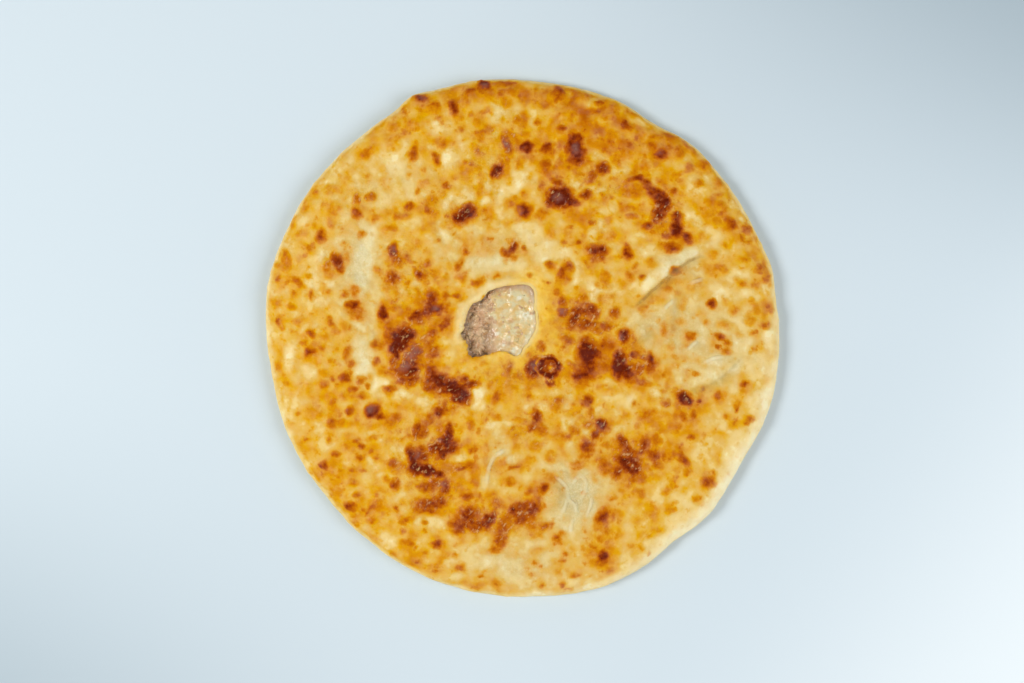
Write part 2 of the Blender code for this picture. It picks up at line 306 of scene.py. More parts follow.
# Each mark has its middle across and down in the photograph's pixels, its length and width in
# pixels, its turn in degrees, and how brown it is: 0 is raw dough and 1 is a scorched spot
MARKS = (
    # the top, on the left
    (421, 98, 14, 11, 0, 0.9), (436, 105, 10, 8, 0, 0.75), (427, 112, 9, 5, 0, 0.62),
    (454, 107, 17, 10, 95, 0.88), (484, 85, 13, 10, 25, 0.95), (471, 90, 14, 7, 15, 0.8),
    (501, 95, 11, 8, 40, 0.74), (515, 90, 7, 5, 0, 0.68), (471, 115, 8, 7, 135, 0.68),
    (484, 111, 9, 6, 20, 0.67), (518, 120, 10, 8, 0, 0.72), (538, 122, 10, 7, 30, 0.72),
    (461, 130, 8, 7, 110, 0.68), (477, 134, 8, 6, 0, 0.68), (485, 132, 9, 7, 20, 0.7),
    (443, 144, 10, 8, 20, 0.68), (414, 153, 17, 8, 65, 0.78), (436, 159, 13, 8, 110, 0.83),
    (478, 152, 9, 6, 125, 0.72), (484, 155, 5, 5, 0, 0.7), (507, 144, 20, 9, 110, 0.84),
    (527, 147, 13, 11, 0, 0.95), (497, 171, 13, 11, 30, 0.94), (502, 163, 8, 8, 0, 0.74),
    (446, 185, 8, 7, 0, 0.78), (418, 191, 7, 5, 90, 0.7), (545, 165, 11, 9, 90, 0.76),
    (524, 195, 7, 6, 0, 0.68), (511, 204, 10, 8, 30, 0.7), (524, 210, 15, 14, 0, 0.9),
    (464, 215, 24, 14, 22, 0.97), (446, 218, 6, 4, 0, 0.74), (410, 207, 10, 8, 0, 0.8),
    (428, 210, 11, 8, 90, 0.78), (408, 132, 6, 5, 0, 0.7), (416, 129, 8, 4, 0, 0.66),
    (398, 137, 6, 5, 0, 0.66), (397, 129, 6, 5, 0, 0.66), (403, 117, 6, 6, 0, 0.64),
    (409, 175, 5, 5, 0, 0.64), (425, 169, 7, 5, 0, 0.66), (464, 164, 8, 5, 0, 0.7),
    (472, 165, 7, 6, 0, 0.7), (440, 118, 6, 4, 0, 0.66), (542, 187, 8, 7, 90, 0.76),
    # the top, on the right
    (558, 90, 12, 10, 0, 0.82), (575, 142, 17, 15, 90, 0.93), (578, 152, 22, 15, 100, 0.93),
    (576, 161, 16, 12, 0, 0.86), (547, 148, 12, 10, 90, 0.87), (561, 128, 10, 7, 0, 0.82),
    (602, 169, 13, 12, 0, 0.86), (592, 177, 15, 7, 55, 0.78), (610, 142, 10, 9, 0, 0.75),
    (628, 145, 11, 8, 0, 0.79), (625, 124, 14, 10, 135, 0.83), (661, 154, 13, 13, 0, 0.93),
    (679, 152, 14, 12, 0, 0.73), (671, 147, 9, 8, 0, 0.71), (672, 137, 16, 8, 0, 0.69),
    (654, 136, 12, 8, 0, 0.67), (643, 133, 10, 7, 0, 0.65), (704, 165, 14, 11, 0, 0.71),
    (689, 168, 9, 9, 0, 0.73), (686, 143, 12, 8, 150, 0.69), (560, 197, 24, 20, 0, 0.96),
    (570, 203, 16, 10, 10, 0.93), (551, 203, 12, 10, 0, 0.89), (586, 195, 13, 9, 0, 0.85),
    (605, 198, 7, 7, 0, 0.62), (630, 182, 15, 8, 30, 0.75), (639, 178, 14, 8, 0, 0.83),
    (646, 185, 16, 8, 125, 0.86), (657, 196, 20, 13, 140, 0.88), (663, 203, 18, 13, 90, 0.91),
    (659, 214, 20, 12, 60, 0.90), (673, 192, 10, 9, 0, 0.73), (676, 217, 12, 10, 0, 0.86),
    (676, 229, 18, 12, 90, 0.95), (687, 238, 12, 11, 90, 0.89), (667, 235, 12, 8, 0, 0.77),
    (671, 248, 18, 10, 0, 0.85), (647, 226, 12, 8, 0, 0.83), (626, 207, 8, 8, 0, 0.7),
    (546, 164, 12, 9, 60, 0.73), (584, 97, 14, 10, 0, 0.67), (570, 107, 14, 12, 0, 0.67),
    (604, 115, 12, 10, 0, 0.69), (613, 108, 14, 12, 0, 0.69), (587, 120, 6, 6, 0, 0.7),
    (574, 220, 8, 7, 0, 0.64), (593, 222, 8, 7, 0, 0.62),
    # between the vent and the top
    (465, 251, 9, 8, 0, 0.74), (458, 267, 9, 7, 50, 0.74), (461, 263, 6, 5, 0, 0.7),
    (477, 283, 10, 7, 150, 0.76), (513, 248, 10, 8, 90, 0.82), (507, 252, 12, 8, 0, 0.78),
    (524, 249, 8, 7, 0, 0.74), (489, 239, 7, 4, 0, 0.7), (497, 276, 8, 4, 0, 0.7),
    (550, 266, 10, 6, 150, 0.76), (563, 273, 13, 9, 70, 0.83), (569, 266, 9, 8, 90, 0.8),
    (579, 242, 8, 7, 0, 0.74), (564, 242, 7, 6, 0, 0.68), (572, 228, 6, 5, 0, 0.72),
    (438, 240, 5, 4, 0, 0.68), (454, 234, 5, 4, 0, 0.68), (433, 271, 8, 5, 0, 0.7),
    (529, 276, 7, 5, 0, 0.66), (547, 283, 5, 5, 0, 0.68), (457, 297, 9, 7, 0, 0.78),
    (557, 292, 8, 6, 0, 0.72), (597, 251, 20, 13, 0, 0.9),
    # the right side
    (731, 223, 13, 11, 120, 0.83), (722, 215, 10, 9, 0, 0.71), (747, 229, 12, 8, 160, 0.77),
    (741, 237, 8, 8, 0, 0.71), (719, 182, 10, 8, 90, 0.71), (700, 182, 8, 8, 0, 0.71),
    (717, 194, 10, 8, 0, 0.65), (706, 202, 7, 7, 0, 0.61), (705, 216, 7, 6, 0, 0.63),
    (717, 221, 8, 7, 0, 0.67), (676, 271, 13, 9, 20, 0.85), (717, 267, 10, 8, 0, 0.69),
    (711, 273, 10, 9, 0, 0.60), (650, 262, 6, 6, 0, 0.69), (642, 278, 7, 7, 0, 0.75),
    (630, 276, 9, 9, 0, 0.73), (634, 267, 8, 6, 60, 0.67), (666, 289, 10, 9, 0, 0.71),
    (644, 309, 10, 8, 0, 0.67), (711, 303, 9, 9, 0, 0.85), (735, 310, 9, 8, 0, 0.67),
    (756, 308, 12, 12, 0, 0.66), (771, 309, 8, 8, 0, 0.71), (762, 267, 9, 8, 0, 0.77),
    (766, 280, 9, 9, 0, 0.73), (755, 285, 9, 7, 0, 0.71), (742, 284, 7, 6, 0, 0.69),
    (745, 260, 12, 10, 0, 0.63), (757, 253, 8, 8, 0, 0.61), (726, 246, 6, 6, 0, 0.65),
    (627, 252, 14, 9, 100, 0.86), (672, 329, 15, 8, 90, 0.58), (678, 322, 10, 8, 0, 0.62),
    (690, 337, 12, 8, 30, 0.75), (674, 357, 8, 6, 0, 0.62), (695, 374, 8, 6, 0, 0.74),
    (719, 337, 11, 6, 140, 0.8), (717, 347, 6, 5, 0, 0.8), (726, 344, 9, 8, 90, 0.74),
    (726, 352, 9, 7, 0, 0.72), (754, 333, 6, 5, 0, 0.72), (765, 326, 12, 8, 0, 0.75),
    (755, 349, 6, 5, 0, 0.72), (744, 384, 8, 8, 0, 0.82), (718, 396, 10, 8, 0, 0.8),
    (737, 407, 7, 6, 90, 0.76), (734, 424, 6, 6, 0, 0.74), (750, 419, 9, 8, 0, 0.78),
    (745, 424, 8, 5, 0, 0.72), (703, 390, 6, 5, 0, 0.76), (726, 417, 7, 6, 0, 0.68),
    (684, 398, 16, 12, 150, 0.94), (699, 401, 8, 6, 0, 0.84),
    # the left side
    (321, 235, 13, 9, 80, 0.81), (357, 214, 11, 10, 90, 0.83), (357, 199, 14, 7, 80, 0.73),
    (371, 197, 10, 8, 45, 0.75), (375, 219, 9, 8, 0, 0.69), (338, 208, 8, 8, 0, 0.65),
    (338, 263, 18, 11, 110, 0.89), (328, 267, 12, 7, 60, 0.71), (286, 258, 16, 9, 100, 0.7),
    (309, 250, 6, 6, 0, 0.7), (297, 282, 16, 7, 145, 0.75), (277, 279, 8, 8, 0, 0.73),
    (311, 296, 10, 6, 95, 0.73), (308, 275, 7, 5, 0, 0.65), (328, 292, 8, 6, 0, 0.67),
    (345, 294, 7, 6, 0, 0.73), (353, 305, 14, 11, 30, 0.86), (393, 252, 14, 10, 80, 0.92),
    (393, 278, 15, 14, 0, 0.83), (407, 257, 10, 10, 0, 0.73), (419, 275, 10, 10, 0, 0.83),
    (427, 264, 8, 8, 0, 0.75), (378, 270, 8, 8, 0, 0.69), (279, 321, 9, 9, 0, 0.79),
    (282, 329, 6, 6, 0, 0.67), (331, 323, 14, 7, 120, 0.75), (312, 335, 9, 8, 0, 0.76),
    (350, 328, 7, 6, 90, 0.67), (391, 228, 12, 8, 0, 0.69), (418, 243, 8, 7, 0, 0.63),
    (361, 234, 8, 7, 90, 0.67), (344, 244, 7, 6, 0, 0.61), (315, 192, 7, 7, 0, 0.67),
    (311, 351, 11, 10, 0, 0.82), (304, 343, 6, 5, 0, 0.7), (321, 348, 8, 6, 0, 0.72),
    (345, 378, 13, 9, 70, 0.84), (353, 389, 10, 8, 0, 0.8), (361, 381, 9, 7, 0, 0.74),
    (368, 386, 6, 5, 0, 0.7), (351, 364, 8, 7, 90, 0.76), (348, 352, 14, 8, 90, 0.72),
    (377, 362, 8, 7, 90, 0.76), (375, 344, 9, 8, 0, 0.78), (333, 379, 7, 6, 0, 0.74),
    (324, 384, 10, 9, 0, 0.7), (350, 411, 9, 9, 0, 0.78), (333, 422, 12, 8, 100, 0.78),
    (329, 439, 7, 6, 90, 0.7), (306, 440, 6, 5, 0, 0.68), (297, 414, 5, 5, 0, 0.66),
    (286, 383, 7, 6, 0, 0.66), (332, 403, 12, 7, 90, 0.7), (373, 411, 14, 12, 0, 0.93),
    (380, 417, 8, 8, 0, 0.84), (361, 446, 9, 6, 0, 0.8), (354, 442, 9, 6, 0, 0.74),
    (371, 451, 7, 5, 0, 0.76), (378, 457, 7, 6, 0, 0.73), (360, 459, 8, 6, 90, 0.74),
    (336, 455, 7, 7, 0, 0.78), (324, 465, 9, 9, 0, 0.84), (352, 471, 10, 6, 0, 0.74),
    (362, 470, 6, 5, 0, 0.7), (322, 475, 9, 5, 90, 0.72), (339, 476, 6, 5, 0, 0.7),
    (331, 361, 6, 5, 0, 0.68),
    # the lower left
    (358, 495, 8, 7, 0, 0.76), (349, 507, 11, 8, 0, 0.84), (371, 506, 12, 5, 35, 0.76),
    (367, 512, 5, 5, 0, 0.77), (377, 496, 5, 5, 0, 0.72), (372, 521, 5, 4, 0, 0.72),
    (397, 509, 6, 6, 0, 0.76), (393, 464, 12, 11, 0, 0.78), (395, 484, 12, 8, 90, 0.8),
    (407, 520, 6, 5, 0, 0.74), (403, 530, 7, 6, 0, 0.74), (410, 543, 9, 8, 90, 0.76),
    (416, 562, 7, 7, 0, 0.76), (424, 554, 7, 6, 0, 0.7), (424, 522, 6, 5, 0, 0.68),
    (340, 490, 12, 8, 30, 0.64), (437, 544, 11, 8, 0, 0.84), (445, 556, 7, 5, 0, 0.7),
    (454, 555, 7, 4, 0, 0.68), (460, 568, 10, 8, 0, 0.72), (435, 572, 7, 5, 0, 0.7),
    (481, 577, 7, 4, 0, 0.74),
    # the scorched groups left of the vent
    (384, 313, 15, 9, 90, 0.92), (432, 299, 20, 12, 100, 0.82), (437, 309, 15, 12, 0, 0.88),
    (417, 316, 16, 12, 30, 0.87), (408, 309, 10, 8, 0, 0.66), (447, 309, 15, 8, 90, 0.74),
    (444, 324, 15, 10, 70, 0.82), (433, 333, 17, 8, 25, 0.78), (402, 337, 24, 21, 45, 0.96),
    (395, 346, 18, 13, 60, 0.95), (410, 334, 14, 12, 20, 0.93), (397, 355, 11, 8, 90, 0.9),
    (414, 353, 24, 15, 60, 0.86), (408, 367, 26, 15, 50, 0.88), (412, 372, 15, 9, 30, 0.96),
    (404, 380, 15, 9, 15, 0.84), (395, 368, 16, 12, 30, 0.76), (422, 364, 10, 9, 0, 0.74),
    (434, 352, 13, 11, 90, 0.8), (432, 371, 16, 14, 120, 0.88), (438, 381, 24, 17, 160, 0.94),
    (451, 387, 18, 15, 150, 0.95), (460, 393, 20, 14, 130, 0.97), (471, 384, 17, 8, 10, 0.88),
    (459, 400, 16, 8, 170, 0.9), (437, 412, 11, 8, 60, 0.82), (444, 406, 12, 8, 70, 0.78),
    (392, 390, 10, 5, 0, 0.74), (508, 369, 18, 10, 60, 0.74), (496, 397, 14, 9, 60, 0.75),
    # the scorched groups below them
    (417, 430, 12, 9, 70, 0.83), (428, 421, 22, 9, 42, 0.75), (396, 418, 16, 12, 30, 0.72),
    (449, 432, 18, 9, 80, 0.89), (446, 441, 16, 14, 0, 0.92), (436, 448, 16, 12, 20, 0.9),
    (443, 453, 16, 10, 40, 0.9), (412, 456, 20, 11, 95, 0.92), (418, 449, 12, 7, 10, 0.74),
    (417, 468, 16, 12, 150, 0.97), (428, 471, 18, 12, 165, 0.95), (438, 474, 14, 9, 170, 0.93),
    (445, 486, 18, 11, 80, 0.86), (463, 468, 20, 6, 8, 0.78), (473, 450, 10, 6, 20, 0.74),
    (424, 505, 20, 16, 10, 0.82), (437, 503, 20, 14, 30, 0.82), (430, 511, 22, 8, 0, 0.78),
    (424, 486, 13, 10, 0, 0.8), (471, 424, 9, 9, 0, 0.7),
    # the scorched groups at the bottom
    (468, 515, 24, 18, 10, 0.84), (458, 526, 16, 15, 90, 0.85), (474, 525, 20, 16, 0, 0.82),
    (485, 519, 16, 10, 80, 0.86), (491, 520, 20, 8, 65, 0.9), (503, 530, 22, 14, 40, 0.76),
    (501, 542, 13, 12, 0, 0.80), (495, 550, 12, 6, 0, 0.74), (518, 510, 22, 16, 0, 0.84),
    (532, 508, 18, 17, 60, 0.85), (523, 519, 20, 11, 20, 0.82), (533, 525, 12, 11, 0, 0.7),
    (544, 487, 12, 10, 60, 0.86), (533, 490, 20, 9, 20, 0.72), (537, 498, 14, 10, 80, 0.72),
    (515, 467, 20, 6, 20, 0.75), (509, 481, 14, 9, 0, 0.7), (546, 527, 14, 7, 30, 0.73),
    (557, 537, 12, 7, 20, 0.77), (537, 416, 14, 9, 100, 0.9), (532, 426, 11, 10, 0, 0.77),
    (535, 562, 5, 5, 0, 0.76), (540, 566, 4, 4, 0, 0.7), (532, 575, 5, 5, 0, 0.7),
    (565, 554, 6, 6, 0, 0.76), (562, 562, 7, 5, 0, 0.72), (562, 585, 5, 5, 0, 0.78),
    (575, 576, 11, 5, 0, 0.73), (542, 586, 6, 6, 0, 0.72),
    # right of the vent
    (562, 302, 14, 9, 110, 0.8), (563, 313, 12, 9, 0, 0.83), (584, 298, 13, 10, 90, 0.7),
    (577, 312, 16, 12, 60, 0.88), (573, 322, 16, 12, 60, 0.86), (588, 310, 20, 12, 0, 0.84),
    (594, 315, 14, 11, 90, 0.78), (590, 323, 14, 8, 150, 0.83), (604, 327, 16, 8, 165, 0.77),
    (615, 313, 12, 9, 80, 0.82), (567, 340, 16, 10, 160, 0.75), (604, 344, 12, 9, 60, 0.82),
    (624, 336, 14, 12, 60, 0.91), (587, 352, 26, 18, 100, 0.97), (596, 355, 12, 12, 0, 0.9),
    (588, 370, 26, 20, 60, 0.85), (580, 376, 16, 14, 45, 0.87), (619, 364, 26, 15, 85, 0.96),
    (627, 372, 18, 12, 130, 0.93), (634, 354, 12, 7, 20, 0.86), (650, 359, 14, 9, 100, 0.86),
    (648, 370, 12, 8, 60, 0.72), (633, 366, 8, 8, 0, 0.76), (640, 382, 22, 9, 165, 0.74),
    (606, 366, 16, 13, 0, 0.72), (534, 368, 24, 15, 75, 0.92), (550, 381, 10, 9, 0, 0.86),
    (588, 399, 10, 9, 0, 0.82), (559, 400, 12, 8, 20, 0.74),
    # the lower right
    (601, 425, 14, 12, 40, 0.9), (595, 434, 12, 8, 50, 0.84), (585, 447, 13, 11, 150, 0.84),
    (622, 442, 12, 12, 110, 0.86), (626, 450, 14, 12, 0, 0.84), (630, 463, 24, 20, 0, 0.88),
    (622, 460, 16, 10, 150, 0.88), (634, 469, 14, 12, 0, 0.88), (606, 463, 20, 12, 140, 0.76),
    (616, 472, 16, 12, 130, 0.82), (645, 444, 16, 12, 70, 0.82), (638, 452, 18, 10, 10, 0.8),
    (653, 455, 14, 12, 0, 0.83), (657, 440, 12, 10, 90, 0.72), (632, 478, 13, 8, 20, 0.72),
    (627, 486, 12, 7, 30, 0.66), (683, 459, 16, 9, 130, 0.81), (687, 472, 9, 8, 0, 0.7),
    (691, 436, 10, 8, 0, 0.78), (683, 417, 10, 9, 0, 0.74), (694, 414, 10, 8, 90, 0.76),
    (672, 422, 11, 10, 0, 0.6), (709, 482, 13, 12, 0, 0.84), (712, 472, 5, 4, 0, 0.74),
    (697, 499, 10, 7, 20, 0.7), (641, 493, 10, 10, 90, 0.7), (653, 514, 10, 9, 0, 0.66),
    (654, 530, 10, 10, 0, 0.58), (603, 517, 16, 13, 60, 0.85), (613, 513, 10, 8, 0, 0.64),
    (603, 556, 13, 12, 0, 0.94), (566, 554, 9, 7, 90, 0.62), (562, 534, 9, 8, 0, 0.66),
    (632, 546, 12, 6, 0, 0.62), (618, 537, 10, 8, 40, 0.62), (647, 415, 20, 12, 20, 0.70),
    (637, 426, 8, 7, 0, 0.66), (665, 403, 9, 9, 0, 0.69), (573, 430, 8, 8, 0, 0.7),
    # brown dough between the marks of the three scorched groups
    (423, 431, 14, 12, 70, 0.78), (441, 412, 14, 10, 40, 0.85), (390, 420, 18, 16, 0, 0.66),
    (452, 446, 16, 14, 60, 0.88), (421, 455, 16, 16, 0, 0.88), (434, 484, 16, 14, 90, 0.8),
    (467, 496, 14, 10, 0, 0.8), (540, 429, 20, 12, 150, 0.72), (521, 421, 24, 8, 170, 0.62),
    (497, 418, 8, 8, 0, 0.66), (566, 437, 16, 8, 20, 0.72), (505, 522, 40, 13, 65, 0.73),
    (532, 516, 14, 12, 0, 0.76), (543, 526, 10, 8, 0, 0.7), (488, 527, 12, 10, 0, 0.76),
    (413, 516, 16, 8, 90, 0.62),
    (444, 296, 14, 8, 60, 0.7), (429, 309, 18, 14, 80, 0.86), (440, 312, 8, 8, 0, 0.78),
    (420, 321, 10, 10, 0, 0.76), (388, 309, 8, 8, 0, 0.7), (388, 334, 28, 9, 90, 0.8),
    (395, 359, 16, 10, 60, 0.8), (404, 347, 12, 8, 45, 0.9), (412, 381, 14, 10, 20, 0.84),
    (430, 356, 12, 10, 60, 0.73), (445, 367, 16, 8, 0, 0.6), (464, 379, 12, 8, 10, 0.86),
    (431, 388, 14, 12, 0, 0.82), (443, 391, 10, 7, 0, 0.84), (491, 384, 8, 8, 0, 0.66),
    (484, 364, 10, 6, 0, 0.62), (506, 386, 28, 26, 0, 0.6),
    (541, 347, 12, 10, 0, 0.74), (556, 322, 22, 12, 0, 0.62), (584, 326, 14, 12, 0, 0.8),
    (596, 331, 14, 8, 160, 0.73), (652, 300, 18, 10, 25, 0.62), (677, 292, 10, 8, 90, 0.6),
    (664, 329, 18, 8, 90, 0.66), (670, 347, 14, 12, 0, 0.58), (621, 344, 10, 6, 0, 0.7),
    (643, 357, 10, 8, 90, 0.76), (651, 367, 16, 12, 70, 0.8), (638, 370, 12, 12, 0, 0.76),
    (631, 382, 14, 8, 0, 0.72), (603, 369, 16, 12, 0, 0.73), (574, 367, 18, 10, 150, 0.73),
    (668, 383, 14, 8, 90, 0.62), (663, 391, 10, 6, 0, 0.6), (610, 391, 20, 8, 0, 0.57),
    # brown dough between the marks at the top
    (464, 100, 14, 12, 90, 0.68), (432, 108, 18, 14, 0, 0.62), (411, 124, 20, 14, 0, 0.62),
    (477, 121, 12, 10, 90, 0.66), (482, 137, 14, 10, 90, 0.68), (490, 93, 14, 8, 0, 0.7),
    (510, 92, 16, 8, 10, 0.74), (536, 93, 12, 8, 90, 0.66), (553, 94, 14, 8, 160, 0.7),
    (571, 116, 12, 10, 90, 0.66), (525, 135, 12, 8, 0, 0.66), (562, 132, 12, 8, 0, 0.66),
    (544, 151, 10, 8, 0, 0.78), (567, 150, 14, 7, 90, 0.82), (520, 162, 18, 10, 60, 0.64),
    (547, 172, 20, 14, 150, 0.7), (557, 182, 14, 9, 150, 0.84), (543, 214, 14, 12, 0, 0.68),
    (571, 213, 18, 8, 110, 0.68), (591, 223, 8, 8, 0, 0.74), (463, 223, 16, 8, 30, 0.70),
    (432, 213, 14, 12, 0, 0.66), (424, 183, 14, 10, 0, 0.62), (480, 190, 20, 8, 80, 0.62),
    (608, 114, 24, 12, 0, 0.64), (612, 135, 20, 18, 0, 0.63), (628, 147, 20, 16, 0, 0.64),
    (611, 150, 20, 14, 0, 0.64), (662, 139, 40, 12, 155, 0.62), (690, 148, 20, 10, 140, 0.68),
    (645, 166, 14, 12, 90, 0.66), (677, 174, 14, 8, 20, 0.64), (632, 191, 26, 16, 0, 0.68),
    (668, 209, 14, 7, 45, 0.74), (632, 217, 12, 8, 0, 0.7), (689, 226, 12, 10, 0, 0.56),
    (722, 206, 18, 9, 140, 0.66), (730, 228, 16, 8, 0, 0.72), (702, 236, 14, 12, 0, 0.58),
    (613, 235, 10, 8, 90, 0.66), (601, 257, 10, 8, 0, 0.78),
    # brown dough between the marks at the left and below
    (333, 190, 24, 10, 0, 0.6), (331, 224, 14, 8, 100, 0.64), (301, 234, 14, 8, 0, 0.62),
    (283, 267, 24, 10, 165, 0.62), (331, 274, 18, 10, 0, 0.62), (396, 261, 14, 12, 0, 0.74),
    (355, 291, 14, 10, 100, 0.7), (357, 314, 16, 14, 0, 0.72), (277, 303, 14, 12, 0, 0.62),
    (299, 321, 14, 8, 0, 0.64), (315, 344, 8, 8, 0, 0.64), (307, 357, 10, 8, 0, 0.7),
    (336, 332, 12, 8, 0, 0.64), (381, 346, 10, 10, 0, 0.68), (348, 396, 24, 10, 0, 0.63),
    (362, 396, 14, 8, 0, 0.68), (389, 389, 14, 7, 15, 0.74), (372, 438, 16, 7, 10, 0.62),
    (348, 447, 16, 12, 0, 0.62), (387, 479, 9, 8, 0, 0.66), (329, 469, 20, 14, 100, 0.62),
    (335, 492, 20, 12, 130, 0.62), (376, 506, 16, 14, 0, 0.7), (372, 520, 14, 12, 0, 0.63),
    (352, 508, 12, 8, 0, 0.76), (404, 543, 10, 8, 0, 0.70), (411, 262, 10, 6, 0, 0.68),
    (461, 278, 12, 10, 0, 0.66), (488, 248, 34, 16, 10, 0.56), (514, 258, 10, 8, 0, 0.7),
    (448, 225, 12, 8, 0, 0.60), (551, 233, 12, 12, 0, 0.60), (568, 232, 14, 14, 0, 0.60),
    (566, 277, 18, 8, 90, 0.7),
    # brown dough between the marks at the right and below
    (584, 404, 12, 8, 150, 0.78), (591, 413, 16, 8, 100, 0.69), (605, 430, 12, 10, 0, 0.74),
    (577, 432, 10, 8, 90, 0.7), (589, 445, 17, 10, 130, 0.8), (584, 456, 12, 8, 0, 0.72),
    (607, 445, 14, 8, 0, 0.7), (618, 447, 10, 8, 0, 0.72), (604, 470, 14, 10, 160, 0.73),
    (641, 476, 14, 10, 60, 0.72), (635, 492, 12, 8, 90, 0.63), (667, 491, 10, 8, 10, 0.64),
    (657, 465, 12, 12, 0, 0.7), (672, 455, 10, 8, 0, 0.72), (656, 440, 14, 12, 90, 0.68),
    (677, 427, 12, 12, 0, 0.68), (534, 446, 20, 12, 0, 0.64), (551, 457, 16, 10, 0, 0.62),
    (555, 406, 14, 10, 120, 0.67), (531, 521, 12, 12, 0, 0.68), (535, 534, 16, 12, 0, 0.62),
    (598, 527, 12, 10, 0, 0.66), (600, 538, 12, 10, 0, 0.67), (613, 518, 10, 6, 90, 0.66),
    (602, 562, 24, 12, 0, 0.70), (611, 572, 10, 8, 0, 0.67), (682, 305, 20, 10, 90, 0.58),
    (706, 323, 10, 8, 0, 0.60), (724, 325, 16, 8, 0, 0.6), (752, 321, 10, 10, 0, 0.63),
    (724, 394, 12, 10, 90, 0.58), (724, 269, 10, 10, 0, 0.66),
    # more weak marks over the whole top
    (366, 153, 16, 10, 30, 0.70), (393, 126, 14, 12, 0, 0.66), (400, 216, 18, 10, 0, 0.68),
    (395, 308, 12, 8, 0, 0.70), (425, 276, 18, 8, 100, 0.66), (292, 307, 10, 8, 0, 0.66),
    (347, 258, 14, 8, 90, 0.62), (625, 150, 24, 22, 0, 0.66), (663, 148, 24, 18, 0, 0.66),
    (594, 259, 10, 8, 0, 0.74), (605, 278, 18, 10, 100, 0.64), (695, 285, 24, 14, 0, 0.58),
    (560, 95, 12, 12, 0, 0.74), (712, 255, 12, 10, 0, 0.60), (353, 482, 12, 10, 0, 0.66),
    (314, 412, 22, 16, 0, 0.60), (341, 423, 10, 10, 0, 0.68), (497, 503, 18, 12, 0, 0.72),
    (457, 488, 16, 14, 0, 0.64), (588, 424, 12, 10, 0, 0.70), (579, 464, 20, 10, 0, 0.66),
    (611, 497, 12, 10, 0, 0.64), (668, 511, 8, 8, 0, 0.66), (606, 530, 12, 12, 0, 0.66),
    (591, 553, 14, 10, 0, 0.64), (691, 421, 22, 16, 0, 0.62), (634, 374, 10, 14, 0, 0.74),
    (556, 495, 18, 22, 0, 0.54), (486, 455, 10, 34, 0, 0.60), (430, 353, 8, 10, 0, 0.66),
)
